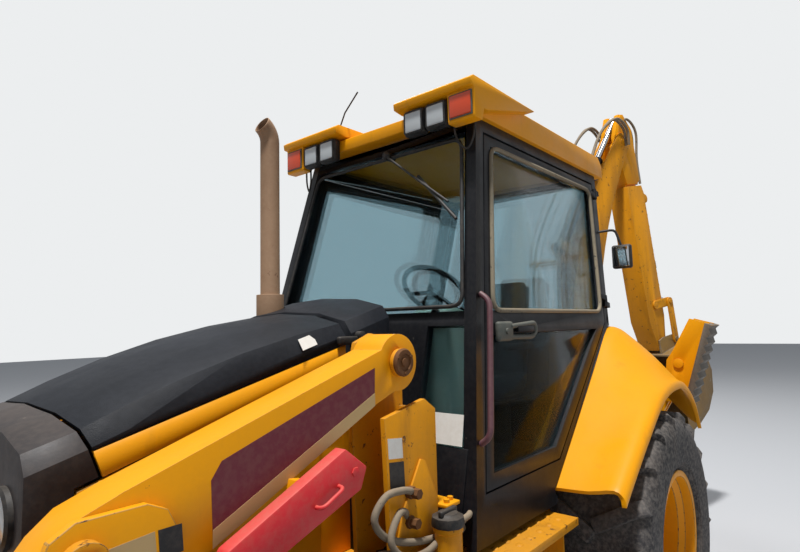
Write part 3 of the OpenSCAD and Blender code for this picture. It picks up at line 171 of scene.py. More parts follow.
def wornSurface(name, colour, faded, dust="#b9935f", stain="#6a4524", bare="#5a3d28", **changes):
    # cloudy fading, fine mottling, rain streaks, dust on what faces up, chips and a fine bump
    values = dict(surfaceDefaults, **changes)
    material, tree = newMaterial(name)
    facing = add(tree, "ShaderNodeNewGeometry")
    upward = add(tree, "ShaderNodeSeparateXYZ", Vector=facing.outputs["Normal"]).outputs[2]
    lying = add(tree, "ShaderNodeMapRange", i0=upward, i1=0.1, i2=1.0, i4=values["dusty"]).outputs[0]
    dusty = add(tree, "ShaderNodeMath", {"operation": "MULTIPLY"}, i0=lying,
                i1=cloudMask(tree, *patternSet["dusting"])).outputs[0]
    chips = cloudMask(tree, values["chipScale"], 0.70 - values["chips"], 0.72 - values["chips"] * 0.7,
                      detail=10.0, rough=0.72)
    base = linear(colour)
    often, start, whole = patternSet["streaks"]
    layers = [(cloudMask(tree, *patternSet["fading"]), faded),
              (cloudMask(tree, *patternSet["mottling"], values["mottle"], 8.0), dust),
              (cloudMask(tree, often, start - values["streaks"], whole, values["streak"],
                         stretch=(1, 1, 0.12)), stain),
              (dusty, dust), (chips, bare)]
    for mask, tone in layers:
        base = add(tree, "ShaderNodeMix", {"data_type": "RGBA"}, i0=mask, i6=base,
                   i7=linear(tone)).outputs[2]
    sheen = cloudMask(tree, *patternSet["sheen"], 0.16)
    rough = add(tree, "ShaderNodeMath", {"operation": "ADD"}, i0=sheen, i1=values["gloss"]).outputs[0]
    rough = add(tree, "ShaderNodeMix", i0=dusty, i2=rough, i3=0.9).outputs[0]
    fine = cloudMask(tree, values["grain"], 0.0, 1.0, detail=4.0)
    height = add(tree, "ShaderNodeMath", {"operation": "SUBTRACT"}, i0=fine, i1=chips).outputs[0]
    bump = add(tree, "ShaderNodeBump", Strength=values["bump"], Distance=0.002, Height=height)
    shader = add(tree, "ShaderNodeBsdfPrincipled", Base_Color=base, Roughness=rough, Normal=bump.outputs[0],
                 Metallic=values["metal"], Specular_IOR_Level=values["shine"])
    add(tree, "ShaderNodeOutputMaterial", Surface=shader.outputs[0])
    return material


def clearSurface(name, colour, rough, metal=0.0, **more):
    # a clean surface: fine wiping marks in its roughness
    material, tree = newMaterial(name)
    marks = cloudMask(tree, *patternSet["wiping"], 0.1 if rough else 0.004, stretch=(1, 1, 0.2))
    spread = add(tree, "ShaderNodeMath", {"operation": "ADD"}, i0=marks, i1=rough).outputs[0]
    shader = add(tree, "ShaderNodeBsdfPrincipled", Base_Color=linear(colour), Metallic=metal,
                 Roughness=spread, **more)
    add(tree, "ShaderNodeOutputMaterial", Surface=shader.outputs[0])
    return material


# the colours of each: fresh, faded, the dust on it, its rain stains, and what its chips show
# sprayed two-pack enamel: satin where sun has chalked it, tan dust lying on it, brown steel in its chips
yellowEnamel = wornSurface("yellowEnamel", "#ec9c04", "#e09808", "#b8802c", gloss=0.34, dusty=0.15,
                           mottle=0.06, streak=0.18, shine=0.22)
# the same enamel where chains, boots and loads rub it
scrapedEnamel = wornSurface("scrapedEnamel", "#dc9208", "#c78616", "#a8783a", "#6a4524", "#4a2f22",
                            gloss=0.42, chips=0.1, streaks=0.08, dusty=0.3, streak=0.4, mottle=0.1,
                            shine=0.22)
# corners of the enamel, rubbed through to primer and steel
rubbedEdge = wornSurface("rubbedEdge", "#c88d20", "#a5762a", "#b9935f", "#6a4524", "#4a3426", gloss=0.5,
                         chips=0.16, chipScale=40)
# grained anti-glare coating of the hood: dull black, dust in the grain, pale scuffs; the blue tint of its
# black and of its dust tone is painted sky sheen
hoodCoatPaintedSheen = wornSurface("hoodCoatPaintedSheen", "#0c0e13", "#14171e", "#4c4f56", "#1a1c22", "#33353b", gloss=0.46,
                       dusty=0.06, grain=420, bump=0.4, mottle=0.06, shine=0.25)
# black cab enamel, thin on its edges
blackEnamel = wornSurface("blackEnamel", "#0b0c10", "#121318", "#5f5a55", "#241f1c", "#5a534c", gloss=0.34,
                          dusty=0.08, chips=0.02, mottle=0.05, streak=0.1, shine=0.25)
# its corners, scraped grey
blackEdge = wornSurface("blackEdge", "#17171a", "#26252a", "#6a625a", "#2c2622", "#8a8075", gloss=0.45,
                        chips=0.1, chipScale=40, dusty=0.2)
# dark grey-brown enamel of the nose
noseEnamel = wornSurface("noseEnamel", "#1f1b1c", "#2a2424", "#75675c", "#3a2c26", "#77685c", gloss=0.4,
                         dusty=0.2, chips=0.02, mottle=0.08)
# sand-cast iron: rough skin, oily, dust in the oil
castIron = wornSurface("castIron", "#2b2b2b", "#3a3734", "#8a7358", "#1c1a18", "#4b4640", gloss=0.6,
                       dusty=0.5, bump=0.3)
# steel pipe browned by heat, tan oxide and dust
burntSteel = wornSurface("burntSteel", "#8a6a50", "#a4866a", "#b79a7c", "#5a4030", "#6b4a38", gloss=0.6,
                         chips=0.06, streaks=0.1, metal=0.2)
# bucket plate: enamel mostly gone, brown rust and rubbed bright steel
wornSteel = wornSurface("wornSteel", "#8d6d33", "#6c5a44", "#a58a68", "#4d3526", "#8d8882", gloss=0.45,
                        chips=0.1, dusty=0.5, metal=0.25, streaks=0.12)
# rolled steel of pads and cutting edges, under dirt
dustySteel = wornSurface("dustySteel", "#5a544c", "#6d655b", "#948673", "#40372d", "#7b756c", gloss=0.55,
                         dusty=0.5, chips=0.04, metal=0.2)
# pivot pin: brown rust with a greasy ring
rustyPin = wornSurface("rustyPin", "#6b4526", "#55361f", "#8a6238", "#2b1c12", "#8b6a48", gloss=0.6,
                       chips=0.06, bump=0.4, metal=0.3)
# moulded tyre rubber, black under tan dust
tyreRubber = wornSurface("tyreRubber", "#1f1e1f", "#343234", "#8b837b", "#5c5148", "#4a443f", gloss=0.72,
                         dusty=0.5, mottle=0.35, streak=0.4, streaks=0.1, bump=0.3)
# wire-braided hose with a rubber cover
hoseRubber = wornSurface("hoseRubber", "#1a1a1b", "#2a2928", "#857562", "#4a4036", "#3c3834", gloss=0.55,
                         dusty=0.5, bump=0.2)
# grained injection-moulded plastics of the cab
greyPlastic = wornSurface("greyPlastic", "#4c504b", "#5b5f59", "#8c8374", "#3a3d39", "#6a6e68", gloss=0.5,
                          dusty=0.3, grain=500, bump=0.3)
blackPlastic = wornSurface("blackPlastic", "#151516", "#202021", "#776b5d", "#2e2a26", "#3d3a37",
                           gloss=0.45, dusty=0.25, grain=400)
# rubber that the sun has bleached grey and tan
wornRubber = wornSurface("wornRubber", "#6f6757", "#8b806b", "#a8977c", "#2e2a26", "#33302c", gloss=0.7,
                         chips=0.1, bump=0.3)
# hose covers of the lift and the hoe, grey-tan with old dust
dustyHose = wornSurface("dustyHose", "#6a6052", "#8b7d68", "#a8937a", "#3a342c", "#2f2b28", gloss=0.7,
                        chips=0.08, bump=0.3)
# brush paint gone purple-brown over black
plumEnamel = wornSurface("plumEnamel", "#4d2c33", "#63404a", "#8a6f62", "#2e1a1c", "#1c1a1b", gloss=0.4,
                         chips=0.05)
# bright enamel of the lock bars, chalked a little by the sun
redEnamel = wornSurface("redEnamel", "#d4202a", "#d93a40", "#a58068", "#5a1a18", "#6b4a44", chips=0.04,
                        dusty=0.3)
# self-adhesive vinyl panels and stripe, their colours rubbed thin
maroonVinyl = wornSurface("maroonVinyl", "#5e1524", "#6f2331", "#94705c", "#401018", "#8a6a50", gloss=0.34,
                          chips=0.01, dusty=0.15)
tanVinyl = wornSurface("tanVinyl", "#b99a62", "#c6a877", "#b59a78", "#7a5a38", "#8a6a50", gloss=0.4,
                       dusty=0.15)
whiteVinyl = wornSurface("whiteVinyl", "#e6e4de", "#d8d4ca", "#b5a58f", "#a08a70", "#b9b2a4", gloss=0.4,
                         dusty=0.1)
# woven seat cover
seatCloth = wornSurface("seatCloth", "#232427", "#2e3034", "#6d665c", "#1a1a1b", "#3a3a3c", gloss=0.85,
                        grain=600, bump=0.5, dusty=0.2, chips=-0.1)
# ground rod with hard chrome
rodChrome = clearSurface("rodChrome", "#c9cccf", 0.1, metal=1.0)
# tinted safety glass, thin film of dust; its blue is partly real tint and partly painted sky reflection
tintedGlassPaintedSky = clearSurface("tintedGlassPaintedSky", "#6d97a4", 0.0, 0.0, Transmission_Weight=1.0, IOR=1.1, Alpha=0.5)
# moulded plastic bleached pale green, made paler still as painted sunlight falling in through the glass
palePlasticPaintedSunlight = wornSurface("palePlasticPaintedSunlight", "#98a698", "#a6b2a4", "#a59c8a", "#70786c", "#848f84", gloss=0.5,
                          dusty=0.25, grain=500, bump=0.25, mottle=0.1)
# pressed glass of the lamps, orange-red moulded lens of the signals, silvered glass of the mirrors
clearLens = clearSurface("clearLens", "#e6ecee", 0.05, Transmission_Weight=0.4, IOR=1.49)
signalLens = clearSurface("signalLens", "#cf4317", 0.1, Coat_Weight=0.4)
mirrorSilver = clearSurface("mirrorSilver", "#dfe3e6", 0.02, metal=1.0)


def onlyPick(piece):
    if bpy.context.mode != "OBJECT":
        bpy.ops.object.mode_set(mode="OBJECT")
    bpy.ops.object.select_all(action="DESELECT")
    piece.select_set(True)
    bpy.context.view_layer.objects.active = piece


def modify(piece, kind, **settings):
    onlyPick(piece)
    modifier = piece.modifiers.new(kind, kind)
    for name, value in settings.items():
        setattr(modifier, name, value)
    bpy.ops.object.modifier_apply(modifier=modifier.name)


def wholeEdit(piece, *steps):  # operators of edit mode, each run on all of the piece
    onlyPick(piece)
    bpy.ops.object.mode_set(mode="EDIT")
    for operator, settings in steps:
        bpy.ops.mesh.select_all(action="SELECT")
        operator(**settings)
    bpy.ops.object.mode_set(mode="OBJECT")


def soften(piece, width=0.004, angle=32, segments=2, material=-1):
    if width:
        modify(piece, "BEVEL", width=width, segments=segments, limit_method="ANGLE",
               angle_limit=math.radians(angle), material=material)
    onlyPick(piece)
    bpy.ops.object.shade_smooth_by_angle(angle=math.radians(angle + 4))


def stand(piece, name, body, slot, material, *replaced):
    # a finished piece: its place in its mesh, its finish, and what it rides on and stands for
    piece.name = name
    piece.data.name = name
    for extra in material if isinstance(material, tuple) else (material,):
        piece.data.materials.append(extra)
    onlyPick(piece)
    bpy.ops.object.transform_apply(location=True, rotation=True, scale=True)
    piece.data.transform(toOrigin)
    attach(piece, body)
    if replaced:
        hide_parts(*replaced)
    return piece


print("dressed castings and weldments")
yellowPair = (yellowEnamel, rubbedEdge)
scrapedPair = (scrapedEnamel, rubbedEdge)
blackPair = (blackEnamel, blackEdge)
bucketPair = (wornSteel, dustySteel)
# slot, finish and its rubbed edge, width of the rounded edge, nodes
dressTable = [
    ("yellow_paint", scrapedPair, 0.003, "chassis_frame axles tank_steps tilt_links stick_extension "
                                         "swing_frame"),
    ("yellow_paint", scrapedPair, 0.002, "knuckle_left knuckle_right hoe_rocker hoe_link"),
    ("yellow_paint", scrapedPair, 0.004, "boom"),
    ("yellow_paint", yellowPair, 0.004, "loader_arms"),
    ("yellow_paint", yellowPair, 0.003, "side_panels tilt_levers stick leg_left leg_right"),
    ("yellow_paint", yellowPair, 0.002, "foot_left foot_right"),
    ("yellow_paint", (yellowEnamel, yellowEnamel), 0.014, "cab_roof"),
    ("yellow_paint", bucketPair, 0.003, "loader_bucket"),
    ("worn_bucket", bucketPair, 0.003, "hoe_bucket"),
    ("hood_black", (hoodCoatPaintedSheen, hoodCoatPaintedSheen), 0.004, "cowl"),
    ("hood_black", (hoodCoatPaintedSheen, hoodCoatPaintedSheen), 0.006, "hood"),
    ("exhaust_steel", (burntSteel, burntSteel), 0.002, "exhaust"),
    ("cab_black", blackPair, 0.003, "cab_frame left_door right_door"),
    ("nose_paint", (noseEnamel, noseEnamel), 0.003, "nose"),
    ("engine_iron", (castIron, castIron), 0.006, "engine_block"),
    ("rim_paint", yellowPair, 0.003, "front_rim_left front_rim_right rear_rim_left rear_rim_right"),
    ("cylinder_black", blackPair, 0.002, "lift_barrels tilt_barrels boom_barrel stick_barrel crowd_barrel "
                                         "leg_barrel_left leg_barrel_right"),
    ("rod_chrome", (rodChrome, rodChrome), 0.001, "lift_rods tilt_rods boom_rod stick_rod crowd_rod "
                                                  "leg_rod_left leg_rod_right steering_rod")]
dressSet = {"merge": 0.00002, "flat": math.radians(0.5)}
finishTable = {"yellow_paint": yellowEnamel, "rim_paint": yellowEnamel, "tyre": tyreRubber,
               "engine_iron": castIron, "nose_paint": noseEnamel, "hood_black": hoodCoatPaintedSheen,
               "cab_black": blackEnamel, "tinted_glass": tintedGlassPaintedSky, "exhaust_steel": burntSteel,
               "seat_fabric": seatCloth, "console_plastic": greyPlastic, "lamp_plastic": blackPlastic,
               "rod_chrome": rodChrome, "cylinder_black": blackEnamel, "worn_bucket": wornSteel}
nodeSlot = {row["node"]: row["material_slot"] for row in frame["record"]["subparts"]}


def dress(node, materials, edge):
    # a copy of the node with its corners rounded and rubbed
    source = nodes[node]
    piece = bpy.data.objects.new(node + "Dressed", source.data.copy())
    scene.collection.objects.link(piece)
    piece.data.materials.clear()
    wholeEdit(piece, (bpy.ops.mesh.remove_doubles, {"threshold": dressSet["merge"]}),
              (bpy.ops.mesh.dissolve_limited, {"angle_limit": dressSet["flat"]}))
    for material in materials:
        piece.data.materials.append(material)
    soften(piece, edge, material=1)
    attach(piece, source["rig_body"])
    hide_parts(node)


for node, piece in nodes.items():
    piece.data.materials.clear()
    piece.data.materials.append(finishTable[nodeSlot[node]])
for slot, materials, edge, names in dressTable:
    for node in names.split():
        dress(node, materials, edge)

print("modelling tools")


def block(low, high, edge=0.006, segments=3):  # a rounded block between two corners
    bpy.ops.object.select_all(action="DESELECT")
    bpy.ops.mesh.primitive_cube_add(size=1, location=[(a + b) / 2 for a, b in zip(low, high)],
                                    scale=[b - a for a, b in zip(low, high)])
    piece = bpy.context.object
    onlyPick(piece)
    bpy.ops.object.transform_apply(location=True, rotation=True, scale=True)
    soften(piece, edge, segments=segments)
    return piece


def cutPlate(outline, across, at, thick, edge=0.002):  # an outline drawn out across axis 0, 1 or 2
    bpy.ops.object.select_all(action="DESELECT")
    bpy.ops.mesh.primitive_circle_add(vertices=len(outline), fill_type="NGON")
    piece = bpy.context.object
    for corner, pair in zip(piece.data.vertices, outline):
        place = list(pair)
        place.insert(across, at)
        corner.co = place
    draw = [0, 0, 0]
    draw[across] = thick
    wholeEdit(piece, (bpy.ops.mesh.extrude_region_move, {"TRANSFORM_OT_translate": {"value": draw}}),
              (bpy.ops.mesh.normals_make_consistent, {"inside": False}))
    soften(piece, edge)
    return piece


def spun(profile, centre, axis, steps=48):  # a closed profile of (radius, height) turned round an axis
    bpy.ops.object.select_all(action="DESELECT")
    bpy.ops.mesh.primitive_circle_add(vertices=len(profile), fill_type="NOTHING")
    piece = bpy.context.object
    outward = 0 if axis else 1
    for corner, (radius, height) in zip(piece.data.vertices, profile):
        place = list(centre)
        place[outward] += radius
        place[axis] += height
        corner.co = place
    direction = [0, 0, 0]
    direction[axis] = 1
    wholeEdit(piece, (bpy.ops.mesh.spin, {"steps": steps, "angle": math.tau, "center": centre,
                                          "axis": direction}),
              (bpy.ops.mesh.remove_doubles, {"threshold": 0.00005}),
              (bpy.ops.mesh.normals_make_consistent, {"inside": False}))
    soften(piece, 0, 34)
    return piece


def boltHead(radius, height, crown, centre, axis):  # six-sided, its top slightly domed
    return spun([(0, 0), (radius, 0), (radius, height), (0, crown)], centre, axis, 6)


def roundedRun(corners, radius, closed=False, steps=5):  # straight runs with bends of a radius between
    points, count = [], len(corners)
    for i, corner in enumerate(corners):
        here = Vector(corner)
        if not closed and i in (0, count - 1):
            points.append(here)
            continue
        back = (Vector(corners[i - 1]) - here).normalized() * radius
        ahead = (Vector(corners[(i + 1) % count]) - here).normalized() * radius
        for j in range(steps + 1):
            t = j / steps
            points.append(here + back * (1 - t) ** 2 + ahead * t ** 2)
    return points


def through(a, b, c, d, t):  # a smooth curve's point between b and c
    return 0.5 * (2 * b + (c - a) * t + (2 * a - 5 * b + 4 * c - d) * t ** 2
                  + (3 * b - a - 3 * c + d) * t ** 3)


def smoothed(values, steps):  # a smooth curve through all the values, in steps from each to the next
    ends = [values[0] * 2 - values[1]] + values + [values[-1] * 2 - values[-2]]
    fours = zip(ends, ends[1:], ends[2:], ends[3:])
    return [through(*four, j / steps) for four in fours for j in range(steps)] + [values[-1]]


def tube(points, radius, closed=False):  # a round bar, pipe or hose along points
    data = bpy.data.curves.new("run", "CURVE")
    data.dimensions = "3D"
    data.bevel_depth, data.bevel_resolution, data.use_fill_caps = radius, 3, not closed
    line = data.splines.new("POLY")
    line.points.add(len(points) - 1)
    for point, place in zip(line.points, points):
        point.co = (*place, 1)
    line.use_cyclic_u = closed
    piece = bpy.data.objects.new("run", data)
    scene.collection.objects.link(piece)
    onlyPick(piece)
    bpy.ops.object.convert(target="MESH")
    piece = bpy.context.object
    soften(piece, 0, 40)
    return piece


def hose(points, radius):  # a hose bent smoothly through points
    return tube(smoothed([Vector(p) for p in points], 7), radius)


def joined(*pieces):
    bpy.ops.object.select_all(action="DESELECT")
    for piece in pieces:
        piece.select_set(True)
    bpy.context.view_layer.objects.active = pieces[0]
    bpy.ops.object.join()
    return bpy.context.object


def onBothSides(piece):
    modify(piece, "MIRROR", use_axis=(False, True, False), use_mirror_merge=False)
    return piece


def turned(piece, angle, axis, centre):
    turn = Matrix.Translation(centre) @ Matrix.Rotation(math.radians(angle), 4, axis)
    piece.data.transform(turn @ Matrix.Translation([-c for c in centre]))
    return piece


def copyOf(piece, flipped=False):  # a copy with its own mesh, mirrored across the middle if flipped
    twin = piece.copy()
    twin.data = piece.data.copy()
    scene.collection.objects.link(twin)
    if flipped:
        twin.data.transform(Matrix.Scale(-1, 4, (0, 1, 0)))
        twin.data.flip_normals()
    return twin


def onEachSide(piece, name, body, slot, material, *replaced):  # a left and a right piece, each with its body
    for twin, side in ((piece, "left"), (copyOf(piece, True), "right")):
        stand(twin, name + side.capitalize(), body.replace("*", side), slot, material,
              *[node.replace("*", side) for node in replaced])


print("tyres")
tyreSet = {"rear": {"at": (0, 0.857, 0.63), "radius": 0.63, "half": 0.24, "bead": 0.308, "flange": 0.33,
                    "beadHalf": 0.2065, "lugs": 18, "lugWide": 0.066},
           "front": {"at": (2.1, 0.947, 0.47), "radius": 0.47, "half": 0.16, "bead": 0.228, "flange": 0.25,
                     "beadHalf": 0.1385, "lugs": 15, "lugWide": 0.05}}
# lugs cross the middle a little, slant by 30 degrees and are worn to a chamfer at their outer ends
lugSet = {"deep": 0.034, "slant": math.radians(30), "inner": -0.008, "worn": 0.028, "edge": 0.005}


def lugOf(values):  # one lug at the top of the tyre
    half, wide, radius = values["half"], values["lugWide"], values["radius"]
    base, slant, inner = radius - lugSet["deep"], lugSet["slant"], lugSet["inner"]
    outer = (half - 0.003 - wide / 2 * math.sin(slant)) / math.cos(slant)
    crown = outer - lugSet["worn"]
    reach = (crown - inner) * math.sin(slant) / 2 + wide / 2 * math.cos(slant)
    top = math.sqrt(radius ** 2 - reach ** 2)
    outline = [(inner + 0.012, top), (crown, top), (outer, top - 0.03), (outer, base - 0.075),
               (outer - 0.06, base - 0.06), (inner, base - 0.02)]
    lug = cutPlate(outline, 0, -wide / 2, wide, lugSet["edge"])
    lug.data.transform(Matrix.Translation(((crown + inner) * math.sin(slant) / 2, 0, 0))
                       @ Matrix.Rotation(slant, 4, "Z"))
    return lug, math.asin(reach / radius)


def makeTyre(values):  # moulded carcass with bead, wall ribs and round shoulders, then its two rows of lugs
    half, base, flange = values["half"], values["radius"] - lugSet["deep"], values["flange"]
    wall = [(values["bead"] + 0.0005, values["beadHalf"]), (flange + 0.006, values["beadHalf"]),
            (flange + 0.02, half * 0.9), (flange + 0.024, half * 0.945), (flange + 0.034, half * 0.95),
            (flange + 0.038, half * 0.975), (flange + 0.075, half), (base - 0.075, half),
            (base - 0.06, half * 0.99), (base - 0.025, half * 0.93), (base - 0.006, half * 0.84),
            (base, half * 0.7)]
    profile = [(r, -h) for r, h in wall] + [(base + 0.003, 0)] + [(r, h) for r, h in reversed(wall)]
    rows = [spun(profile, (0, 0, 0), 1, 72)]
    lug, lead = lugOf(values)
    count = values["lugs"]
    for side in (1, -1):
        for i in range(count):
            twin = copyOf(lug)
            if side < 0:
                twin.data.transform(Matrix.Rotation(math.pi, 4, "Z"))
                twin.data.transform(Matrix.Scale(-1, 4, (1, 0, 0)))
                twin.data.flip_normals()
            twin.data.transform(Matrix.Rotation(i * math.tau / count + side * lead, 4, "Y"))
            rows.append(twin)
    bpy.data.objects.remove(lug)
    tyre = joined(*rows)
    tyre.data.transform(Matrix.Translation(values["at"]))
    return tyre


for end, values in tyreSet.items():
    onEachSide(makeTyre(values), end + "Tyre", end + "_wheel_*", "tyre", tyreRubber, end + "_tyre_*")

print("cab")
# foot of the screen and the doors, foot of the tail's slope, and how far their edges lean in degrees
cabSet = {"sill": (1.39, 0.763, 0.93), "tail": (-0.285, 1.70), "lean": 6.4, "rake": 13.4, "back": 11.1}


def leaning(start, rise, angle):
    return start - rise * math.tan(math.radians(angle))


def sideY(z):
    return leaning(cabSet["sill"][1], z - cabSet["sill"][2], cabSet["lean"])


def pillarX(z):
    return leaning(cabSet["sill"][0], z - cabSet["sill"][2], cabSet["rake"])


def tailX(z):
    return leaning(cabSet["tail"][0], z - cabSet["tail"][1], cabSet["back"])


lampSet = {"front": 1.0603, "bottom": 2.635, "top": 2.759, "work": (0.436, 0.306), "half": 0.061,
           "pod": 1.1103, "signal": ((0.522, 2.652), (0.634, 2.752)), "rear": -0.5603}
lampCorners = ((-1, -0.8), (-0.8, -1), (0.8, -1), (1, -0.8), (1, 0.8), (0.8, 1), (-0.8, 1), (-1, 0.8))


def makeWorkLamp(values, y):  # square moulded bezel and rim round a pressed-glass lens
    front, bottom, top = values["front"], values["bottom"], values["top"]
    bezel = block((front, y - values["half"], bottom), (front + 0.05, y + values["half"], top), 0.014)
    rim = cutPlate([(y + a * 0.057, (bottom + top) / 2 + b * 0.058) for a, b in lampCorners],
                   0, front + 0.045, 0.01, 0.003)
    lens = block((front + 0.04, y - 0.049, bottom + 0.013), (front + 0.0575, y + 0.049, top - 0.013), 0.008)
    return joined(bezel, rim), lens


bezels, lenses = zip(*(makeWorkLamp(lampSet, y) for y in lampSet["work"]))
stand(onBothSides(joined(*bezels)), "workLamps", "root", "lamp_plastic", blackPlastic, "lamps")
stand(onBothSides(joined(*lenses)), "workLenses", "root", "lamp_plastic", clearLens)
(lowY, lowZ), (highY, highZ) = lampSet["signal"]
pod, rear = lampSet["pod"], lampSet["rear"]
rim = block((pod, lowY - 0.006, lowZ - 0.006), (pod + 0.007, highY + 0.006, highZ + 0.006), 0.003)
stand(onBothSides(rim), "signalRims", "root", "lamp_plastic", greyPlastic)
signal = block((pod + 0.002, lowY, lowZ), (pod + 0.012, highY, highZ), 0.004)
stand(onBothSides(signal), "signalLenses", "root", "lamp_plastic", signalLens)
tail = block((rear - 0.055, 0.44, 2.695), (rear, 0.544, 2.799), 0.012)
stand(onBothSides(tail), "tailLamps", "root", "lamp_plastic", blackPlastic)
tail = block((rear - 0.06, 0.452, 2.707), (rear - 0.05, 0.532, 2.787), 0.005)
stand(onBothSides(tail), "tailLenses", "root", "lamp_plastic", clearLens)

sealSet = {"inset": 0.124, "low": 1.79, "high": 2.568, "proud": 0.003,
           "screen": ((-0.60, 1.81), (0.60, 1.81), (0.50, 2.60), (-0.50, 2.60))}


def windowSeal(corners, radius, thick):  # rubber section pushed on the window's edge
    return tube(roundedRun(corners, radius, closed=True), thick, closed=True)


low, high, inset = sealSet["low"], sealSet["high"], sealSet["inset"]
upperLight = [(pillarX(low) - inset, low), (pillarX(high) - inset, high), (tailX(high) + inset, high),
              (tailX(low) + inset, low)]
seal = windowSeal([(x, sideY(z) + sealSet["proud"], z) for x, z in upperLight], 0.07, 0.011)
onEachSide(seal, "windowSeal", "*_door", "cab_black", wornRubber)
screen = [(pillarX(z) + 0.004, y, z) for y, z in sealSet["screen"]]
stand(windowSeal(screen, 0.06, 0.009), "screenSeal", "root", "cab_black", blackPlastic)

# pressed panel and blank sticker at the foot of the lower panes
panelSet = {"y": (0.42, 0.69), "z": (0.955, 1.262), "half": 0.006,
            "sticker": ((0.47, 1.27), (0.665, 1.27), (0.66, 1.385), (0.465, 1.385))}
low, high = panelSet["z"]
corners = [(pillarX(z) + side * panelSet["half"], z)
           for z, side in ((low, 1), (high, 1), (high, -1), (low, -1))]
panel = cutPlate(corners, 1, panelSet["y"][0], panelSet["y"][1] - panelSet["y"][0], 0.003)
stand(onBothSides(panel), "footPanels", "root", "cab_black", blackEnamel)
label = cutPlate(panelSet["sticker"], 0, 0, 0.001, 0)
for corner in label.data.vertices:
    corner.co.x += pillarX(corner.co.z) + 0.008
stand(label, "paneSticker", "root", "tinted_glass", whiteVinyl)

handleSet = {"rear": 0.735, "front": 1.06, "z": 1.70}


def makeHandle(values):  # moulded pull with an open grip at its rear half
    z, y, rear, front = values["z"], sideY(values["z"]), values["rear"], values["front"]
    plate = block((front - 0.12, y - 0.004, z - 0.042), (front, y + 0.024, z + 0.042), 0.012)
    grip = [(front - 0.1, y + 0.018, z + 0.02), (rear, y + 0.018, z + 0.034),
            (rear - 0.012, y + 0.018, z - 0.01), (rear + 0.02, y + 0.014, z - 0.03),
            (front - 0.1, y + 0.014, z - 0.026)]
    button = spun([(0, 0.02), (0.014, 0.02), (0.014, 0.032), (0, 0.034)], (front - 0.06, y, z), 1, 20)
    return joined(plate, tube(roundedRun(grip, 0.02), 0.011), button)


onEachSide(makeHandle(handleSet), "doorHandle", "*_door", "cab_black", greyPlastic)

railSet = {"low": 1.28, "high": 1.86, "off": 0.045, "bend": 0.035, "radius": 0.0125}
stations = ((railSet["low"], 0, 0), (railSet["low"], railSet["off"], 0.03),
            (railSet["high"], railSet["off"], -0.03), (railSet["high"], 0, 0))
run = [(pillarX(z) - 0.03, sideY(z) + off, z + rise) for z, off, rise in stations]
grab = tube(roundedRun(run, railSet["bend"]), railSet["radius"])
stand(onBothSides(grab), "grabRails", "root", "cab_black", plumEnamel)

wiperSet = {"pivot": (0.045, 2.61), "tip": (0.472, 2.289), "blade": ((0.27, 2.455), (0.525, 2.20)),
            "spindle": [(0, -0.03), (0.02, -0.03), (0.024, 0.03), (0.012, 0.045), (0, 0.045)]}


def makeWiper(values):  # pressed arm, its blade and the motor's spindle at the head of the screen
    (y0, z0), (y1, z1) = values["pivot"], values["tip"]
    elbow = (pillarX((z0 + z1) / 2) + 0.028, (y0 + y1) / 2, (z0 + z1) / 2)
    arm = tube([(pillarX(z0) + 0.03, y0, z0), elbow, (pillarX(z1) + 0.016, y1, z1)], 0.006)
    blade = tube([(pillarX(z) + 0.012, y, z) for y, z in values["blade"]], 0.008)
    return joined(arm, blade, spun(values["spindle"], (pillarX(z0), y0, z0), 0, 20))


stand(makeWiper(wiperSet), "wiper", "root", "cab_black", blackPlastic)
# how far outward of y the wiring hangs, from the roof's edge to the lamp's pod
wiringSet = {"y": 0.50, "radius": 0.005, "run": ((1.06, 0, 2.68), (1.05, 0.01, 2.58), (1.03, 0.05, 2.53),
                                                 (1.02, 0.08, 2.58), (1.015, 0.09, 2.66))}
for name, side in (("left", 1), ("right", -1)):
    run = [(x, side * (wiringSet["y"] + out), z) for x, out, z in wiringSet["run"]]
    stand(hose(run, wiringSet["radius"]), name + "LampWiring", "root", "cab_black", hoseRubber)

print("cab interior")
consoleSet = {"post": ((0.93, -0.18, 0.962), (1.10, 0.18, 1.43)),
              "shroud": ((0.88, -0.09, 1.48), (1.06, 0.09, 1.66)),
              "dash": ((0.90, -0.225, 1.40), (1.13, 0.225, 1.60)), "dashTurn": 12,
              "sideY": 0.255, "sideWide": 0.235,
              "side": [(1.13, 0.962), (1.145, 1.40), (1.15, 1.72), (1.12, 1.80), (1.06, 1.815),
                       (0.94, 1.79), (0.90, 1.70), (0.97, 1.35), (1.0, 0.962)],
              "dials": ((0.385, 1.745, 0.034), (0.432, 1.785, 0.022)), "dialX": 1.145}
steeringSet = {"column": (0.97, 0, 1.50), "reach": 0.58, "tilt": -43, "wheel": 0.19, "rim": 0.015,
               "boss": [(0, -0.02), (0.04, -0.015), (0.045, 0.01), (0.03, 0.022), (0, 0.024)]}


def makeConsole(values):  # moulded pedestal, dash, shroud of the column and the high side console
    pedestal = block(*values["post"], 0.05, 4)
    dash = turned(block(*values["dash"], 0.05, 4), values["dashTurn"], "Y", (0.9, 0, 1.43))
    shroud = block(*values["shroud"], 0.04, 4)
    sideConsole = cutPlate(values["side"], 1, values["sideY"], values["sideWide"], 0.03)
    return joined(pedestal, dash, shroud, sideConsole)


def makeDial(x, y, z, radius):  # round gauge under a raised rim
    form = [(0, 0), (radius, 0), (radius, 0.008), (radius - 0.006, 0.012), (radius - 0.01, 0.006),
            (0, 0.005)]
    return spun(form, (x, y, z), 0, 28)


# the dashboard's pale colour is partly painted sunlight
stand(makeConsole(consoleSet), "dashboard", "root", "console_plastic", palePlasticPaintedSunlight, "console")
dials = joined(*(makeDial(consoleSet["dialX"], *dial) for dial in consoleSet["dials"]))
stand(dials, "dials", "root", "console_plastic", blackPlastic)


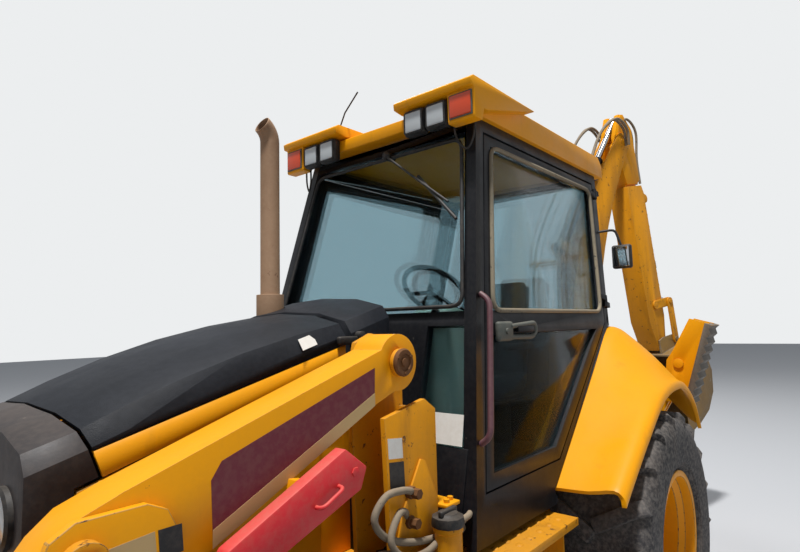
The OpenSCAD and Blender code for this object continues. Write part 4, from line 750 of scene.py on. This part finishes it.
def makeSteering(values):  # moulded rim on three spokes, boss and column
    x, y, z = values["column"]
    reach, head, thick = values["reach"], z + values["reach"], values["rim"]
    angles = [math.tau * i / 10 for i in range(10)]
    rim = spun([(values["wheel"] + thick * math.cos(a), thick * math.sin(a)) for a in angles], (x, y, head),
               2, 56)
    boss = spun(values["boss"], (x, y, head - 0.005), 2, 28)
    stem = [(0, -0.02), (0.05, -0.02), (0.036, reach - 0.1), (0.026, reach - 0.01), (0, reach - 0.01)]
    column = spun(stem, (x, y, z), 2, 24)
    spokes = []
    for angle in (30, 150, 270):
        spoke = block((x + 0.03, y - 0.014, head - 0.012),
                      (x + values["wheel"] - 0.008, y + 0.014, head), 0.005)
        spokes.append(turned(spoke, angle, "Z", (x, y, z)))
    return turned(joined(rim, boss, column, *spokes), values["tilt"], "Y", (x, y, z))


stand(makeSteering(steeringSet), "steeringWheel", "root", "console_plastic", blackPlastic)


# foam pads swell under a little pressure; cap is the most that a point may move
padSet = {"voxel": 0.012, "pressure": 4, "frames": 20, "cap": 0.012, "fill": 0.8}


def cushion(low, high, lean, centre, values):  # foam pad in a woven cover, swollen by cloth simulation
    piece = block(low, high, 0.03, 3)
    modify(piece, "REMESH", mode="VOXEL", voxel_size=values["voxel"])
    onlyPick(piece)
    rest = [corner.co.copy() for corner in piece.data.vertices]
    cloth = piece.modifiers.new("swell", "CLOTH")
    cloth.settings.use_pressure = True
    cloth.settings.uniform_pressure_force = values["pressure"]
    cloth.settings.effector_weights.gravity = 0
    cloth.point_cache.frame_start, cloth.point_cache.frame_end = 1, values["frames"]
    for frameNow in range(1, values["frames"] + 1):
        scene.frame_set(frameNow)
    bpy.ops.object.modifier_apply(modifier=cloth.name)
    for corner, start in zip(piece.data.vertices, rest):
        step = corner.co - start
        if step.length > values["cap"]:
            corner.co = start + step * (values["cap"] / step.length)
    scene.frame_set(1)
    modify(piece, "SUBSURF", levels=1, render_levels=1)
    soften(piece, 0, 60)
    return turned(piece, lean, "Y", centre)


# corners are from the seat's middle; the back leans about the hinge
seatSet = {"x": 0.15, "hinge": (-0.26, 0, 1.33), "lean": -10,
           "foot": ((-0.16, -0.14, 0.962), (0.15, 0.14, 1.24)),
           "back": ((-0.26, -0.20, 1.32), (-0.215, 0.20, 1.98)),
           "arm": ((-0.2, 0.245, 1.575), (0.12, 0.29, 1.615)),
           "pads": (("seatCushion", ((-0.20, -0.225, 1.295), (0.25, 0.225, 1.40)), 0),
                    ("seatBack", ((-0.225, -0.205, 1.35), (-0.155, 0.205, 2.01)), -10))}


def fromSeat(*places):
    return [(seatSet["x"] + x, y, z) for x, y, z in places]


hinge = fromSeat(seatSet["hinge"])[0]
shell = joined(block(*fromSeat(*seatSet["foot"]), 0.03),
               turned(block(*fromSeat(*seatSet["back"]), 0.02), seatSet["lean"], "Y", hinge),
               onBothSides(block(*fromSeat(*seatSet["arm"]), 0.015)))
stand(shell, "seatShell", "root", "seat_fabric", blackPlastic, "seat")
for name, corners, lean in seatSet["pads"]:
    pad = cushion(*fromSeat(*corners), lean, hinge, padSet)
    stand(pad, name, "root", "seat_fabric", seatCloth)

print("loader arms and towers")
# blank vinyls and plates: name, body, face they lie on, finish, outline
plateTable = [
    ("armPanels", "loader_arms", 0.6602, maroonVinyl,
     [(1.787, 1.602), (2.332, 1.42), (2.36, 1.38), (2.355, 1.262), (1.79, 1.523)]),
    ("armStripes", "loader_arms", 0.6611, tanVinyl,
     [(1.79, 1.523), (2.355, 1.265), (2.355, 1.223), (1.79, 1.483)]),
    ("towerLabels", "root", 0.6813, whiteVinyl,
     [(1.687, 1.368), (1.757, 1.376), (1.753, 1.312), (1.683, 1.303)]),
    ("towerPlates", "root", 0.6813, blackPlastic,
     [(1.68, 1.292), (1.752, 1.301), (1.748, 1.218), (1.676, 1.208)]),
    ("leverLabels", "tilt_levers", 0.6853, tanVinyl,
     [(2.505, 1.312), (2.60, 1.304), (2.592, 1.255), (2.50, 1.262)]),
    ("leverPlates", "tilt_levers", 0.6853, blackPlastic,
     [(2.445, 1.312), (2.498, 1.312), (2.493, 1.25), (2.44, 1.252)])]
vinylThick = 0.0008
for name, body, face, material, outline in plateTable:
    stand(onBothSides(cutPlate(outline, 1, face, vinylThick, 0)), name, body, "yellow_paint", material)

gussetSet = {"face": 0.6812, "thick": 0.009,
             "outline": [(1.512, 0.905), (1.512, 1.14), (1.575, 1.275), (1.60, 1.285), (1.70, 1.13),
                         (1.742, 1.0), (1.738, 0.905)]}
gusset = cutPlate(gussetSet["outline"], 1, gussetSet["face"], gussetSet["thick"])
stand(onBothSides(gusset), "towerGussets", "root", "yellow_paint", scrapedEnamel)
bracketSet = {"low": (1.42, 0.60, 1.098), "high": (1.50, 0.72, 1.112),
              "bolts": ((1.44, 0.69, 1.112), (1.475, 0.70, 1.112))}
bracket = joined(block(bracketSet["low"], bracketSet["high"], 0.004),
                 *(boltHead(0.011, 0.012, 0.014, place, 2) for place in bracketSet["bolts"]))
stand(onBothSides(bracket), "hoseBrackets", "root", "yellow_paint", yellowEnamel)

# channel that props the arms up when they are raised: it hangs under the arm, with its handle
lockSet = {"outline": [(1.905, 1.33), (1.99, 1.395), (2.36, 1.235), (2.40, 1.17), (2.345, 1.13),
                       (1.93, 1.27)],
           "in": 0.69, "wide": 0.045, "face": 0.731, "grip": 0.76, "handle": ((2.02, 1.30), (2.10, 1.265)),
           "bolts": ((1.955, 1.325), (2.32, 1.20)),
           "hanger": [(2.10, 1.33), (2.135, 1.335), (2.15, 1.27), (2.115, 1.262)]}


def makeLockBar(values):
    bar = cutPlate(values["outline"], 1, values["in"], values["wide"], 0.006)
    face, grip, ((x0, z0), (x1, z1)) = values["face"], values["grip"], values["handle"]
    handle = tube(roundedRun([(x0, face, z0), (x0, grip, z0), (x1, grip, z1), (x1, face, z1)], 0.02), 0.006)
    bolts = [boltHead(0.014, 0.008, 0.012, (x, face, z), 1) for x, z in values["bolts"]]
    return joined(bar, handle, *bolts)


stand(onBothSides(makeLockBar(lockSet)), "lockBars", "loader_arms", "yellow_paint", redEnamel)
hanger = cutPlate(lockSet["hanger"], 1, 0.661, 0.03, 0.003)
stand(onBothSides(hanger), "lockBarHangers", "loader_arms", "yellow_paint", yellowEnamel)
# the arms' pivot pin: a turned cap with a greased hollow and three small nuts round it
pinSet = {"at": (1.67, 0.6768, 1.612), "ring": 0.036, "nutFace": 0.688, "nuts": (0.5, 2.6, 4.7),
          "cap": [(0, 0), (0.046, 0), (0.047, 0.008), (0.042, 0.014), (0.030, 0.014), (0.028, 0.009),
                  (0.016, 0.009), (0.014, 0.015), (0, 0.016)]}
x, y, z = pinSet["at"]
nuts = [boltHead(0.006, 0.006, 0.007, (x + pinSet["ring"] * math.cos(a), pinSet["nutFace"],
                                       z + pinSet["ring"] * math.sin(a)), 1) for a in pinSet["nuts"]]
pin = joined(spun(pinSet["cap"], (x, y, z), 1, 40), *nuts)
stand(onBothSides(pin), "armPins", "root", "yellow_paint", rustyPin)

print("hoses")
# from under the cab, past the filler's neck, round in a bow and back to the tower
liftHoseSet = {"radius": 0.0115, "runs": [
    [(1.24, 0.60, 1.02), (1.345, 0.70, 1.035), (1.50, 0.712, 1.02), (1.66, 0.715, 1.04),
     (1.80, 0.715, 1.09), (1.86, 0.715, 1.16), (1.81, 0.715, 1.215), (1.73, 0.712, 1.215),
     (1.675, 0.705, 1.20), (1.66, 0.672, 1.19)],
    [(1.24, 0.56, 0.99), (1.36, 0.69, 1.0), (1.52, 0.71, 0.985), (1.68, 0.715, 1.0), (1.80, 0.715, 1.045),
     (1.865, 0.715, 1.05), (1.875, 0.71, 0.98), (1.82, 0.69, 0.93), (1.74, 0.672, 0.92)],
    [(1.24, 0.64, 1.03), (1.38, 0.728, 1.05), (1.50, 0.735, 1.045), (1.64, 0.74, 1.01), (1.76, 0.742, 1.03),
     (1.81, 0.735, 1.09), (1.76, 0.722, 1.15), (1.70, 0.70, 1.14), (1.67, 0.672, 1.10)]],
    "ends": ((1.66, 0.680, 1.19), (1.742, 0.675, 0.92), (1.67, 0.680, 1.10)),
    "fitting": [(0, 0), (0.021, 0), (0.021, 0.022), (0.017, 0.024), (0.017, 0.05), (0, 0.05)]}
lifts = joined(*(hose(run, liftHoseSet["radius"]) for run in liftHoseSet["runs"]))
stand(onBothSides(lifts), "liftHoses", "root", "cylinder_black", dustyHose)
fittings = joined(*(spun(liftHoseSet["fitting"], place, 1, 6) for place in liftHoseSet["ends"]))
stand(onBothSides(fittings), "hoseEnds", "root", "cylinder_black", rustyPin)

fillerSet = {"at": (1.555, 0.762, 1.072), "grip": (0.045, 0.009, 0.03, 0.054),
             "cap": [(0, 0), (0.056, 0), (0.058, 0.01), (0.054, 0.03), (0.04, 0.034), (0.034, 0.042),
                     (0, 0.044)],
             "neck": [(0, -0.172), (0.046, -0.172), (0.046, -0.02), (0.05, -0.016), (0.05, 0), (0, 0)],
             "shelf": ((1.40, 0.684, 0.872), (1.63, 0.886, 0.90))}
x, y, z = fillerSet["at"]
long, wide, low, high = fillerSet["grip"]
grip = block((x - long, y - wide, z + low), (x + long, y + wide, z + high), 0.006)
cap = joined(spun(fillerSet["cap"], (x, y, z), 2, 10), grip)
stand(cap, "fillerCap", "root", "lamp_plastic", blackPlastic)
neck = joined(spun(fillerSet["neck"], (x, y, z), 2, 32), block(*fillerSet["shelf"], 0.004))
stand(neck, "fillerNeck", "root", "yellow_paint", scrapedEnamel)

print("fenders")
fenderSet = {"foot": (0.705, 1.0), "rise": 0.7218, "tub": 0.592, "out": 1.06, "skin": 0.02}


def slantZ(x):
    return fenderSet["foot"][1] + (fenderSet["foot"][0] - x) * fenderSet["rise"]


# cross-sections: place along the vehicle, height at the cab, height at the lip
fenderStations = [(0.715, 0.992, 1.012), (0.6, slantZ(0.6), 1.082), (0.35, slantZ(0.35), 1.225),
                  (0.05, slantZ(0.05), 1.372), (-0.244, 1.684, 1.402), (-0.42, 1.662, 1.362),
                  (-0.57, 1.575, 1.262), (-0.67, 1.40, 1.12)]


def sheet(rows):  # a grid primitive laid over rows of points
    bpy.ops.object.select_all(action="DESELECT")
    down, along = len(rows) - 1, len(rows[0]) - 1
    bpy.ops.mesh.primitive_grid_add(x_subdivisions=down, y_subdivisions=along, size=2)
    piece = bpy.context.object
    for corner in piece.data.vertices:
        corner.co = rows[round((corner.co.x + 1) / 2 * down)][round((corner.co.y + 1) / 2 * along)]
    return piece


def makeFender(values):  # pressed skin: level by the cab, rolled over the wheel, turned down at its lip
    rows, tub, out = [], values["tub"], values["out"]
    for x, inner, outer in fenderStations:
        fall = inner - outer
        section = ((tub, inner), (0.70, inner), (0.78, inner - fall * 0.18), (0.90, inner - fall * 0.55),
                   (out - 0.05, outer + 0.012), (out - 0.008, outer - 0.014), (out, outer - 0.05))
        rows.append(smoothed([Vector((x, y, z)) for y, z in section], 3))
    columns = [smoothed(list(column), 4) for column in zip(*rows)]
    piece = sheet(list(zip(*columns)))
    wholeEdit(piece, (bpy.ops.mesh.normals_make_consistent, {"inside": False}))
    if piece.data.polygons[len(piece.data.polygons) // 2].normal.z < 0:
        piece.data.flip_normals()
    modify(piece, "SOLIDIFY", thickness=values["skin"], offset=-1)
    soften(piece, 0.003, 40)
    return onBothSides(piece)


stand(makeFender(fenderSet), "fenderSkins", "root", "yellow_paint", yellowEnamel, "fenders")

print("hoe")
swingSet = {"x": -1.086, "turn": -16}  # the hoe stands turned about its swing pin


def swungPiece(piece):
    return turned(piece, swingSet["turn"], "Z", (swingSet["x"], 0, 0))


# hoses: place across the boom, and how far each stands off to the front; along: x and z;
# foot and over: x, share of the place across, z
boomHoseSet = {"hoses": ((-0.15, 0.0), (-0.118, 0.03), (0.118, 0.02), (0.15, 0.05)), "radius": 0.012,
               "foot": ((-1.20, 0.5, 0.86), (-1.07, 0.62, 1.30)),
               "along": ((-0.97, 1.80), (-1.00, 2.25), (-1.16, 2.62), (-1.42, 3.02), (-1.60, 3.33)),
               "over": ((-1.78, 1, 3.50), (-1.93, 1, 3.44), (-1.97, 0.9, 3.30)),
               "clamps": ((-0.99, 1.62), (-1.0, 2.2), (-1.35, 2.95))}


def makeBoomHose(values, y, off):
    (x0, in0, z0), (x1, in1, z1) = values["foot"]
    run = [(x0, y * in0, z0), (x1 + off, y * in1, z1)]
    run += [(x + off, y, z) for x, z in values["along"]]
    run += [(x, y * share, z) for x, share, z in values["over"]]
    return hose(run, values["radius"])


boomHoses = joined(*(makeBoomHose(boomHoseSet, *place) for place in boomHoseSet["hoses"]))
stand(swungPiece(boomHoses), "boomHoses", "boom", "cylinder_black", dustyHose)
clamps = joined(*(block((x - 0.03, -0.17, z - 0.015), (x + 0.05, 0.17, z + 0.015), 0.004)
                  for x, z in boomHoseSet["clamps"]))
stand(swungPiece(clamps), "hoseClamps", "boom", "yellow_paint", scrapedEnamel)


def hoePoint(u, w, y):  # u along the stick from the boom's tip, w out of its rear
    return (-1.946 - 0.172 * u - 0.985 * w, y, 3.33 - 0.985 * u + 0.172 * w)


stickSet = {"hoses": (-0.06, -0.025, 0.025, 0.06), "radius": 0.011,
            "run": ((-0.16, 0.02, 1), (-0.22, 0.14, 1.3), (-0.10, 0.25, 1.3), (0.15, 0.225, 1),
                    (0.38, 0.215, 1)),
            "grips": (-0.085, 0.065), "teeth": 17, "pitch": 0.055, "foot": 0.17, "crest": 0.022}
stickHoses = [hose([hoePoint(u, w, y * spread) for u, w, spread in stickSet["run"]], stickSet["radius"])
              for y in stickSet["hoses"]]
stand(swungPiece(joined(*stickHoses)), "stickHoses", "stick", "cylinder_black", dustyHose)
teeth = [hoePoint(0.62 + stickSet["pitch"] * i, 0.192 + stickSet["crest"] * (i % 2), 0)
         for i in range(stickSet["teeth"])]
teeth += [hoePoint(1.50, stickSet["foot"], 0), hoePoint(0.62, stickSet["foot"], 0)]
grips = [cutPlate([(x, z) for x, y, z in teeth], 1, start, 0.02) for start in stickSet["grips"]]
stand(swungPiece(joined(*grips)), "stickGrips", "stick_extension", "yellow_paint", scrapedEnamel)

print("stabilisers")
footSet = {"inner": [(0.956, 1.208), (1.103, 1.705)], "high": (1.146, 1.690), "low": (1.0, 1.196),
           "teeth": 9, "start": -0.961, "long": 0.222}


def makePad(values):  # ribbed pad under a foot, its outer edge cut to teeth
    high, low, steps = Vector(values["high"]), Vector(values["low"]), 2 * values["teeth"]
    outline = list(values["inner"])
    for i in range(steps + 1):
        point = high.lerp(low, i / steps) + Vector((0.001, 0))
        outline.append(tuple(point + Vector((-0.016, 0.005)) if i % 2 else point))
    return cutPlate(outline, 0, values["start"], values["long"], 0.003)


onEachSide(makePad(footSet), "pad", "foot_*", "worn_bucket", dustySteel)

print("steps, hood and nose fittings")
studSet = {"at": (0.83, 0.70, 0.9002), "along": 7, "across": 3, "pitch": (0.085, 0.055),
           "form": [(0, 0), (0.016, 0), (0.011, 0.004), (0, 0.005)]}
x, y, z = studSet["at"]
studs = [spun(studSet["form"], (x + studSet["pitch"][0] * i, y + studSet["pitch"][1] * j, z), 2, 12)
         for i in range(studSet["along"]) for j in range(studSet["across"])]
stand(onBothSides(joined(*studs)), "stepStuds", "root", "yellow_paint", scrapedEnamel)
latch = joined(block((1.61, 0.396, 1.668), (1.71, 0.418, 1.70), 0.008),
               spun([(0, 0), (0.018, 0), (0.018, 0.03), (0.01, 0.034), (0, 0.034)],
                    (1.60, 0.396, 1.70), 1, 20))
stand(onBothSides(latch), "hoodLatches", "hood", "hood_black", blackPlastic)
bolts = [spun([(0, 0), (0.012, 0), (0.012, 0.008), (0.006, 0.012), (0, 0.012)], (x, 0.399, z), 1, 16)
         for x, z in ((1.398, 1.68), (1.46, 1.30))]
stand(onBothSides(joined(*bolts)), "cowlBolts", "root", "rod_chrome", rodChrome)
antenna = tube([(1.05, -0.28, 2.80), (1.06, -0.21, 2.90), (1.08, -0.09, 2.975)], 0.004)
stand(antenna, "antenna", "root", "cab_black", blackPlastic)


def keepPast(piece, place, normal):  # cuts a piece along a plane and closes the cut
    wholeEdit(piece, (bpy.ops.mesh.bisect, {"plane_co": place, "plane_no": normal, "use_fill": True,
                                            "clear_inner": True}))


# the hood's upright sides are yellow, below a seam that runs down to the nose
seamSet = {"at": (2.60 - aheadOfAxle, 0, 1.428), "fall": 0.261, "gap": 0.003}
hoodTop = bpy.data.objects["hoodDressed"]
skirt = copyOf(hoodTop)
keepPast(hoodTop, seamSet["at"], (seamSet["fall"], 0, 1))
keepPast(skirt, Vector(seamSet["at"]) - Vector((0, 0, seamSet["gap"])), (-seamSet["fall"], 0, -1))
skirt.data.materials.clear()
skirt.name = "hoodSides"
for material in yellowPair:
    skirt.data.materials.append(material)
# blank label on the hood's chamfer
labelSet = {"outline": [(1.797, 1.724), (1.872, 1.702), (1.872, 1.656), (1.797, 1.678)], "face": 0.4025,
            "turn": 36, "about": (1.834, 0.4025, 1.665)}
label = turned(cutPlate(labelSet["outline"], 1, labelSet["face"], 0.001, 0), labelSet["turn"], "X",
               labelSet["about"])
stand(label, "hoodLabel", "hood", "hood_black", whiteVinyl)

headlampSet = {"at": (2.67, 0.27, 1.30),
               "rim": [(0.055, 0), (0.075, 0), (0.075, 0.012), (0.066, 0.018), (0.055, 0.012)],
               "lens": [(0, 0), (0.056, 0), (0.056, 0.008), (0.03, 0.013), (0, 0.015)]}
rim = spun(headlampSet["rim"], headlampSet["at"], 0, 36)
lens = spun(headlampSet["lens"], headlampSet["at"], 0, 32)
stand(onBothSides(rim), "headlampRims", "root", "lamp_plastic", blackPlastic)
stand(onBothSides(lens), "headlampLenses", "root", "lamp_plastic", clearLens)


def makeMirror(z):  # moulded mirror head on a bent rod at the cab's rear post
    x, y = tailX(z) + 0.02, sideY(z)
    rod = tube(roundedRun([(x, y - 0.02, z), (x - 0.04, y + 0.09, z + 0.01),
                           (x - 0.05, y + 0.12, z - 0.10)], 0.03), 0.008)
    head = block((x - 0.075, y + 0.06, z - 0.24), (x - 0.035, y + 0.18, z - 0.09), 0.014)
    glass = block((x - 0.036, y + 0.072, z - 0.228), (x - 0.032, y + 0.168, z - 0.102), 0.003)
    return joined(rod, head), glass


head, glass = makeMirror(2.30)
stand(onBothSides(head), "mirrors", "root", "cab_black", blackPlastic)
stand(onBothSides(glass), "mirrorGlasses", "root", "rod_chrome", mirrorSilver)

print("wheel nuts")
# hub's place, the circle that the nuts stand on, the rim's outer face and a nut's size
nutTable = {"rear": ((0, 0.63), 0.165, 0.811, 0.014), "front": ((2.1, 0.47), 0.12, 0.991, 0.012)}
nutAngles = [math.tau * (i + 0.5) / 8 for i in range(8)]
for end, ((x, z), circle, face, size) in nutTable.items():
    form = [(0, 0), (size, 0), (size, 0.018), (size * 0.6, 0.022), (0, 0.022)]
    nuts = [spun(form, (x + circle * math.cos(a), face, z + circle * math.sin(a)), 1, 6) for a in nutAngles]
    onEachSide(joined(*nuts), end + "Nuts", end + "_wheel_*", "rim_paint", rustyPin)
